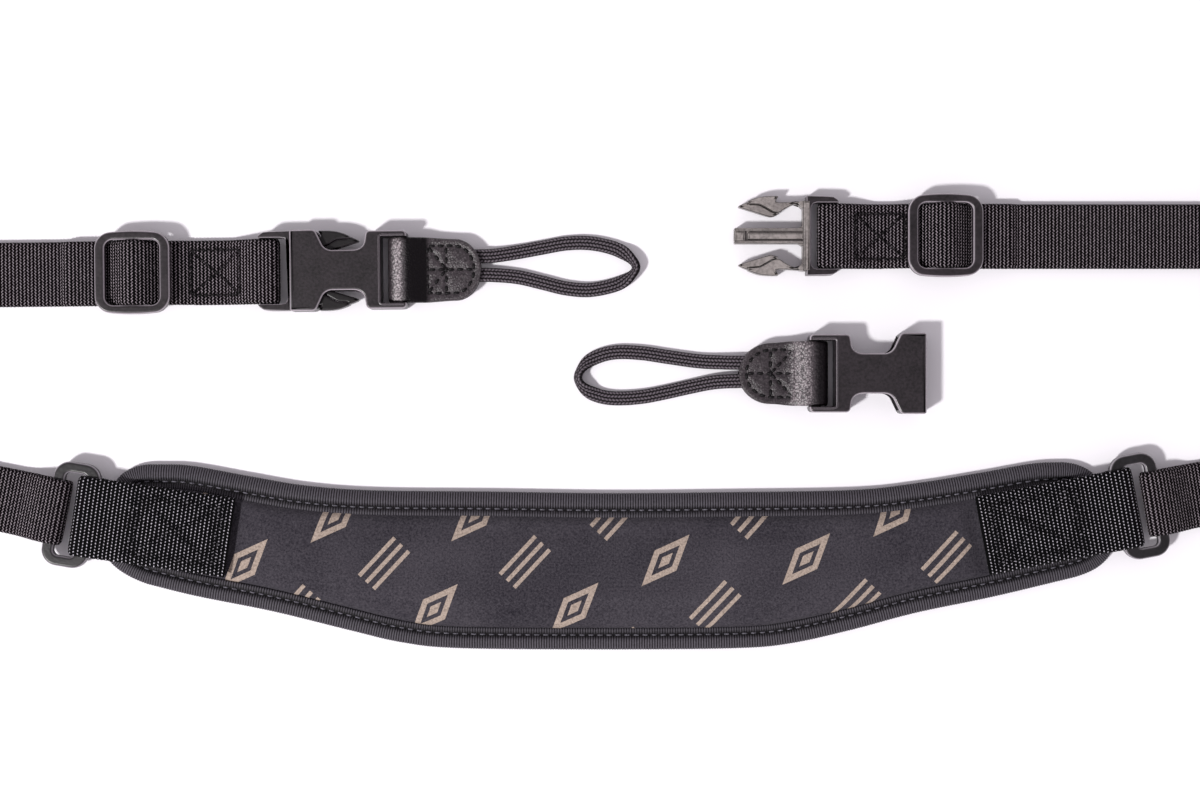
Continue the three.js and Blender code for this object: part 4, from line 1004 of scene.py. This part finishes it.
SLIDER_CORNER, SLIDER_WINDOW_CORNER, SLIDER_ROUND = 4.4, 2.6, 0.7
SLIDER_BULGE = 0.085  # share by which the side rails stand out in their middle
END_RAIL, SIDE_RAIL = 3.1, 2.75
BAR_HALVES = (1.5, 1.2)  # half the bar's width and height
BAR_STATIONS = 12
half_long, half_wide = SLIDER_LENGTH / 2, SLIDER_WIDTH / 2
outline = rounded_rectangle(half_long, half_wide - 1, SLIDER_CORNER)
outline = evenly(np.vstack([outline, [(half_long, 6)]]), 0.7)
outline[:, 1] *= 1 + SLIDER_BULGE * (1 - (outline[:, 0] / half_long) ** 2)
window = rounded_rectangle(half_long - END_RAIL, half_wide - SIDE_RAIL, SLIDER_WINDOW_CORNER)
rails = moulded_plate(outline, -SLIDER_THICK / 2, SLIDER_THICK / 2, SLIDER_ROUND, windows=[window])
bar_line = np.zeros((BAR_STATIONS, 3))
bar_line[:, 1] = np.linspace(1.2 - half_wide, half_wide - 1.2, BAR_STATIONS)
bar_line[:, 2] = SLIDER_BAR_LEVEL - SLIDER_LEVEL
bar_points, quads = swept(bar_line, [1.0, 0, 0], UPWARDS, ellipse(*BAR_HALVES, sides=16))
slider = joined(rails, (bar_points, [q[::-1] for q in quads]))
for side in SIGNS:
    add_moulding(f"moulded_slider_{side}", slider, plans[side]["back"], SLIDER_LEVEL,
                 satin_acetal, [f"slider_{side}"], sharp=40)


# Buckles, pronged halves: moulded acetal. A frame takes the strap's fold on its rear bar, a
# plate closes the socket's mouth, and a guide runs between two spring prongs with barbs.

MALE_END = 11.1  # how far the frame reaches back from the plate's front
PLATE_TO = {"left": -1.85, "right": -2.4}
PLATE_TOP = {"left": 2.6, "right": 3.05}
# The prongs use a shaded and a lit copy of the same acetal: painted shade for the left ones, deep
# inside the closed socket, and a painted light grey for the right ones, lying open to the light,
# with painted dark edges.
PRONG_FINISH = {
    "left": moulded_plastic("shaded_moulded_acetal", "#020102", "#100d0f", "#3c373c"),
    "right": moulded_plastic("bare_moulded_acetal", "#5c5756", "#8b8583", "#0b090a"),
}
PRONG_BARB = [
    (-0.8, 8.4), (0.0, 8.5), (0.5, 9.2), (1.4, 9.8), (2.4, 9.85), (3.9, 9.3), (5.6, 8.3),
    (7.4, 7.1), (9.1, 7.35), (11.2, 8.6), (13.2, 9.7), (15.2, 9.85), (17.2, 9.8), (17.1, 10.7),
    (15.5, 11.4), (13.6, 12.0), (11.5, 12.3), (9.2, 12.35), (7.4, 12.3), (8.2, 11.2),
    (8.5, 10.35), (3.5, 10.5), (-0.8, 10.8),
]
PRONG_BLADE = [
    (7.3, 7.1), (8.3, 6.3), (9.3, 5.95), (10.4, 5.95), (14.5, 7.2), (19.3, 8.7), (19.9, 8.95),
    (19.9, 9.25), (18.2, 10.1), (16.8, 10.5), (16.6, 9.75), (15.2, 9.7), (13.3, 9.55),
    (11.3, 8.4), (9.2, 7.2),
]
PRONG_GUSSET = [(-0.3, 9.2), (0.2, 8.5), (0.9, 9.3), (1.6, 10.0), (1.0, 10.7), (-0.3, 10.9)]
GUIDE_ROOT = [(-0.2, 3.4), (-0.2, 2.0), (2.6, 2.0), (1.3, 2.5), (0.5, 2.9)]


def cut_round(corners):
    """A closed outline with each of its corners cut."""
    outline = np.array(corners, float)
    ahead = np.roll(outline, -1, axis=0)
    cuts = np.stack([0.8 * outline + 0.2 * ahead, 0.2 * outline + 0.8 * ahead], axis=1)
    return cuts.reshape(-1, 2)


def both_sides(half):
    """A whole outline, from its upper half and that half's mirror image."""
    half = np.array(half, float)
    return np.vstack([half, half[::-1] * [1, -1]])


def mirrored(part):
    points, faces = part
    return points * np.array([1, -1, 1]), [f[::-1] for f in faces]


def slab(u, v, low, high, corner, radius):
    """A moulded block between two u and two v values, with rounded corners and rims."""
    outline = rounded_rectangle((u[1] - u[0]) / 2, (v[1] - v[0]) / 2, corner, 5)
    return moulded_plate(outline + [sum(u) / 2, sum(v) / 2], low, high, radius, 3)


def buckle_frame(plate_to):
    """A cross plate that reaches back to plate_to, an arm on each side, and the rear bar."""
    outline = both_sides([
        (-1.15, 12.2), (-7.3, 12.2), (-9.4, 12.0), (-10.6, 11.3), (-MALE_END, 10.3),
        (-8.6, 10.3), (-7.6, 10.3), (-4.2, 10.3), (plate_to - 0.8, 10.0), (plate_to - 0.2, 9.2),
        (plate_to, 8.0),
    ])
    bar = slab((-MALE_END, -7.7), (-10.9, 10.9), -1.25, 1.25, 0.8, 0.8)
    return joined(moulded_plate(outline, -3.0, 3.0, 0.33, 4), bar)


def prongs_and_guide(plate_to, plate_top):
    """The front plate, both prongs, and the guide: two rails with their roots, a web, a rib and
    an end block."""
    one_side = [
        moulded_plate(cut_round(PRONG_BARB), -2.4, 2.4, 0.5, 4),
        moulded_plate(cut_round(PRONG_BLADE), -1.9, 1.9, 0.45, 4),
        moulded_plate(PRONG_GUSSET, -2.55, 2.55, 0.15, 2),
        moulded_plate(GUIDE_ROOT, -1.6, 1.6, 0.15, 2),
        slab((-0.5, 21.2), (1.5, 2.4), -2.3, 2.3, 0.3, 0.25),
    ]
    return joined(
        slab((plate_to + 0.15, 0.0), (-10.9, 10.9), -2.6, plate_top, 0.4, 0.45),
        *one_side, *map(mirrored, one_side),
        slab((-0.5, 21.0), (-1.8, 1.8), -1.0, 1.0, 0.2, 0.1),
        slab((-0.5, 17.1), (-1.1, 1.1), -1.9, 1.9, 0.4, 0.35),
        slab((17.8, 21.25), (-1.7, 1.7), -2.05, 2.05, 0.4, 0.4),
    )


for side in SIGNS:
    origin, along, across = plans[side]["back"]
    frame_at = (origin + along * (REACH[side] + MALE_END), along, across)
    add_moulding(f"buckle_frame_{side}", buckle_frame(PLATE_TO[side]), frame_at,
                 BUCKLE_LEVEL[side], satin_acetal, [f"buckle_male_{side}"])
    add_moulding(f"buckle_prongs_{side}", prongs_and_guide(PLATE_TO[side], PLATE_TOP[side]),
                 frame_at, BUCKLE_LEVEL[side], PRONG_FINISH[side])


# Buckles, socket halves: one moulded acetal shell each, open at the mouth and at both sides of
# the narrow waist, where the barbs snap in. The rear bar carries the leather.

SOCKET_LENGTH, SOCKET_HALF, SOCKET_WAIST, SOCKET_HEIGHT = 36.0, 12.5, 6.2, 9.0
SOCKET_ROOM = 2.8  # half the height inside
BAR_FROM, BAR_HALF_LONG, BAR_HALF_THICK = 32.4, 10.3, 1.3
RIM_BEAD = 0.3
INSERTION = 1.1  # how far the closed buckle's front plate goes into the mouth


def socket_outline():
    """The socket from above, narrow at the waist where the prongs show."""
    half, waist, rear, long = SOCKET_HALF, SOCKET_WAIST, SOCKET_HALF - 0.45, SOCKET_LENGTH
    share = np.linspace(0, 1, 8)[:, None]
    bends = [
        ((6.8, half), (8, half), (8.5, half - 1.3)),
        ((9.6, 8.9), (10.6, waist), (13.2, waist)),
        ((19.2, waist), (22.4, waist), (23.1, 8.6)),
        ((23.4, rear - 1.4), (23.6, rear), (25.0, rear)),
        ((long - 1.5, rear), (long, rear), (long, rear - 1.5)),
    ]
    upper = [[(0, half - 0.5), (0.5, half)], *(bezier(*turn, share) for turn in bends)]
    return both_sides(np.vstack(upper))


def cut_box(u, v, w):
    corners = [(x, y, z) for x in u for y in v for z in w]
    faces = [(0, 1, 3, 2), (4, 6, 7, 5), (0, 4, 5, 1), (2, 3, 7, 6), (0, 2, 6, 4), (1, 5, 7, 3)]
    return corners, faces


def hollowed(body, cutters):
    """Points and faces of the body with other solids cut out of it."""
    blanks = []
    for points, faces in [body, *cutters]:
        mesh = bpy.data.meshes.new("blank")
        mesh.from_pydata(np.asarray(points).tolist(), [], faces)
        mesh.validate()
        blanks.append(placed("blank", mesh))
    for tool in blanks[1:]:
        cut = blanks[0].modifiers.new("cut", "BOOLEAN")
        cut.object = tool
        cut.operation = "DIFFERENCE"
        cut.solver = "EXACT"
    bpy.context.view_layer.update()
    shell = blanks[0].evaluated_get(bpy.context.evaluated_depsgraph_get()).to_mesh()
    points = np.empty(len(shell.vertices) * 3)
    shell.vertices.foreach_get("co", points)
    faces = [tuple(p.vertices) for p in shell.polygons]
    for blank in blanks:
        bpy.data.objects.remove(blank)
    return points.reshape(-1, 3), faces


def bead(line, radius):
    """A round bead along a level line."""
    ahead = unit(np.gradient(line, axis=0))
    circle = ellipse(radius, radius, sides=8)
    points, quads = swept(line, unit(np.cross(UPWARDS, ahead)), UPWARDS, circle)
    return points, with_ends(points, quads, len(circle))


def socket_half():
    """The shell hollowed from mouth to waist, its bar cut free, and a bead along its rear rims."""
    top, past, beside = SOCKET_HEIGHT / 2, SOCKET_HEIGHT / 2 + 1, (-BAR_HALF_LONG, BAR_HALF_LONG)
    slot = rounded_rectangle(2.25, BAR_HALF_LONG, 0.25, 5) + [30.2, 0]
    shell = hollowed(moulded_plate(socket_outline(), -top, top, 0.75), [
        cut_box((-1, 8.21), (-11.3, 11.3), (-SOCKET_ROOM, SOCKET_ROOM)),  # the mouth
        cut_box((8.2, 23.4), (-20, 20), (-SOCKET_ROOM, SOCKET_ROOM)),  # open on both sides
        moulded_plate(slot, -past, past, 0.05, 1),  # before the bar, and over and under it
        cut_box((BAR_FROM - 0.01, SOCKET_LENGTH + 1), beside, (BAR_HALF_THICK, past)),
        cut_box((BAR_FROM - 0.02, SOCKET_LENGTH + 1), beside, (-past, -BAR_HALF_THICK)),
        cut_box((1.15, 1.35), (-6.5, 6.5), (top - 0.12, past)),  # a fine groove by the lip
    ])
    rim = both_sides([(35.2, 10.75), (29.0, 10.75), (28.2, 10.7), (27.75, 10.4), (27.6, 9.8)])
    rims = (np.column_stack([rim, np.full(len(rim), sign * (top - 0.05))]) for sign in (1, -1))
    return joined(shell, *(bead(evenly(line, 0.4), RIM_BEAD) for line in rims))


origin, along, _ = plans["left"]["back"]
closed_mouth = origin + along * (REACH["left"] + MALE_END - INSERTION)
MOUTHS = {
    "left": ground_frame(closed_mouth[:2], math.radians(TILT["left"])),
    "right": ground_frame((98.3, 61.6), math.pi),
}
socket = socket_half()
for side, frame_at in MOUTHS.items():
    add_moulding(f"socket_half_{side}", socket, frame_at, SOCKET_HEIGHT / 2, satin_acetal,
                 [f"buckle_female_{side}"])


# Leather tabs: black full-grain leather folded round the socket's bar, its two layers sewn
# together round the cord's ends and cut to one round end. The fold is polished by handling, and
# its colour carries a painted highlight on the crest and painted shade on the slope past it.

LEATHER_WIDTH, LEATHER_TIP_WIDTH, LEATHER_THICK, LEATHER_COLUMNS = 20.0, 18.9, 1.3, 44
LEATHER_TOP = 5.1  # both layers with the cord between them
LEATHER_LENGTH = {"left": 58.7, "right": 57.5}  # all lengths run from the socket's mouth
ROUND_END = {"left": 8.0, "right": 10.0}
LAYERS_MEET = SOCKET_LENGTH + 7.5
BOX_FROM = {"left": 42.2, "right": 40.8}
CENTRE_SEAM = {"left": 48.0, "right": 47.8}
SEAM_INSET, SEAM_PULL, SEAM_PUFF = 2.1, 0.22, 0.22
LEATHER_STITCH, LEATHER_STITCH_PITCH, LEATHER_THREAD = 1.9, 2.75, 0.85
POLISH_AND_PAINTED_LIGHT = {  # where, and how pale the grain is painted there: polish, a painted highlight on the fold, painted shade past it
    "left": [(31, 0.5), (32.6, 1.25), (34, 1.2), (36.0, 0.03), (41.4, 0.03), (42.8, 0.6),
             (60, 0.65)],
    "right": [(33, 0.1), (34, 0.35), (35.6, 1.0), (39.4, 1.05), (41.2, 0.8), (42.4, 0.5),
              (60, 0.65)],
}

# Full-grain leather: black pebbled grain whose crowns are painted pale by the table along the tab:
# polish and a painted highlight on the fold, painted shade past it, paler on the sewn end
full_grain, node = new_material("full_grain_leather")
place = node("TexCoord").outputs["Object"]
_, _, _, polish_and_painted_light = run_of(node)
pebble = node("TexVoronoi", place, Scale=1.7 / MM, Randomness=1.0, feature="F1")
crease = node("TexNoise", place, Scale=1.2 / MM, Detail=4.0, Roughness=0.7)
crown = node("Math:MULTIPLY", node("Math:MULTIPLY_ADD", pebble, -1.3, 1.0), 0.5)
grain = node("Math:MULTIPLY_ADD", crease, 0.7, crown)
# The table's painted highlight and shade set the grain's brightness; the same table raises the
# specular level, as polish would.
polish_and_shine = node("Math:MULTIPLY_ADD", polish_and_painted_light, 0.55, 0.08)
lit = node("Math:MULTIPLY", polish_and_shine, node("Math:MULTIPLY_ADD", grain, 1.5, 0.15))
tone = node("ValToRGB", lit, stops={0.1: "#080508", 0.5: "#3b3539", 1: "#a39a9e"})
node("OutputMaterial", node(
    "BsdfPrincipled", tone, Roughness=0.36,
    Specular_IOR_Level=node("Math:MULTIPLY_ADD", polish_and_painted_light, 0.4, 0.12),
    Normal=node("Bump", Strength=0.7, Distance=0.25 * MM, Height=grain),
))


def leather_half_width(u, side):
    """Half the leather's width at a distance from the socket's mouth."""
    round_from = LEATHER_LENGTH[side] - ROUND_END[side]
    taper = ease(BAR_FROM + 8, round_from, u)
    width = LEATHER_WIDTH / 2 + (LEATHER_TIP_WIDTH - LEATHER_WIDTH) / 2 * taper
    return width * np.sqrt(1 - np.clip((u - round_from) / ROUND_END[side], 0, 1) ** 2)


def seam_lines(side):
    """The stitched lines on the leather: a D-shaped outline, one line across it and one along
    its middle, and two that slant from its corners to where these cross."""
    box_from, centre, end = BOX_FROM[side], CENTRE_SEAM[side], LEATHER_LENGTH[side] - SEAM_INSET
    half = LEATHER_TIP_WIDTH / 2 - SEAM_INSET
    angles = np.radians(np.linspace(90, -90, 25))
    around = np.column_stack([
        end + SEAM_INSET - ROUND_END[side] + (ROUND_END[side] - SEAM_INSET) * np.cos(angles),
        half * np.sin(angles),
    ])
    outline = np.vstack([[(box_from, half)], around, [(box_from, -half)], [(box_from, half)]])
    straight = [
        [(centre, half), (centre, -half)], [(box_from, 0), (end, 0)],
        [(box_from, half), (centre, 0)], [(box_from, -half), (centre, 0)],
    ]
    return [outline, *(np.array(line, float) for line in straight)]


for side, frame_at in MOUTHS.items():
    long, level = LEATHER_LENGTH[side], SOCKET_HEIGHT / 2
    wrap = BAR_HALF_THICK + GAP + LEATHER_THICK / 2
    low, high = LEATHER_THICK / 2, LEATHER_TOP - LEATHER_THICK / 2
    path = [
        (long - 0.05, low), (LAYERS_MEET, low), (LAYERS_MEET - 2.6, low + 0.35),
        (SOCKET_LENGTH + 0.4, level - wrap - 0.1), *bend((BAR_FROM + 0.35, level), wrap, 270, 90),
        (SOCKET_LENGTH + 0.6, level + wrap), (SOCKET_LENGTH + 3.4, level + wrap - 0.7),
        (LAYERS_MEET - 1.6, high + 0.25), (LAYERS_MEET, high), (long - 0.05, high),
    ]
    line = eased_path(path, 0.35, rounds=2)
    tip = long - ROUND_END[side] * (1 - np.cos(np.linspace(0, 1.2, 14)))
    under, over = (np.column_stack([tip, np.full(len(tip), layer)]) for layer in (low, high))
    line = np.vstack([under, line[line[:, 0] < tip[-1]], over[::-1]])
    line[0, 0] = line[-1, 0] = long - 0.02
    share = np.linspace(-1, 1, LEATHER_COLUMNS + 1)
    u = np.broadcast_to(line[:, :1], (len(line), len(share)))
    v = leather_half_width(line[:, :1], side) * share
    nearest = np.full(u.shape, 9.0)
    for seam in seam_lines(side):
        for p in evenly(seam, 0.5):
            nearest = np.minimum(nearest, np.hypot(u - p[0], v - p[1]))
    sewn = u > BOX_FROM[side] - 1.5
    pulled = sewn * SEAM_PULL * np.exp(-((nearest / 0.6) ** 2))
    puffed = sewn * SEAM_PUFF * (1 - np.exp(-((nearest / 1.6) ** 2))) * ease(0, 2.5, long - u)
    bevel = LEATHER_THICK / 2 * (0.35 + 0.65 * (1 - np.abs(share) ** 16) ** 0.5)
    across_at = np.hstack([v, v[:, ::-1]])
    height = np.hstack([bevel - pulled + puffed, np.broadcast_to(-bevel, u.shape)])
    points, quads = swept(*standing_strip(frame_at, line), np.stack([across_at, height], axis=-1))
    faces = with_ends(points, quads, across_at.shape[1])
    polish_and_painted_light = np.interp(line[:, :1], *np.array(POLISH_AND_PAINTED_LIGHT[side]).T)
    leather = add_piece(f"folded_leather_{side}", points, faces, full_grain,
                        [f"leather_tab_{side}"], run=(line[:, :1], across_at, polish_and_painted_light))
    starts, stops = (
        set_at(np.insert(spots, 2, high + LEATHER_THICK / 2 + 0.02, axis=1), frame_at, 0)
        for spots in seam_stitches(seam_lines(side), LEATHER_STITCH, LEATHER_STITCH_PITCH)
    )
    stitches = add_stitches(f"leather_stitches_{side}", starts, stops, UPWARDS, LEATHER_THREAD,
                            black_thread)
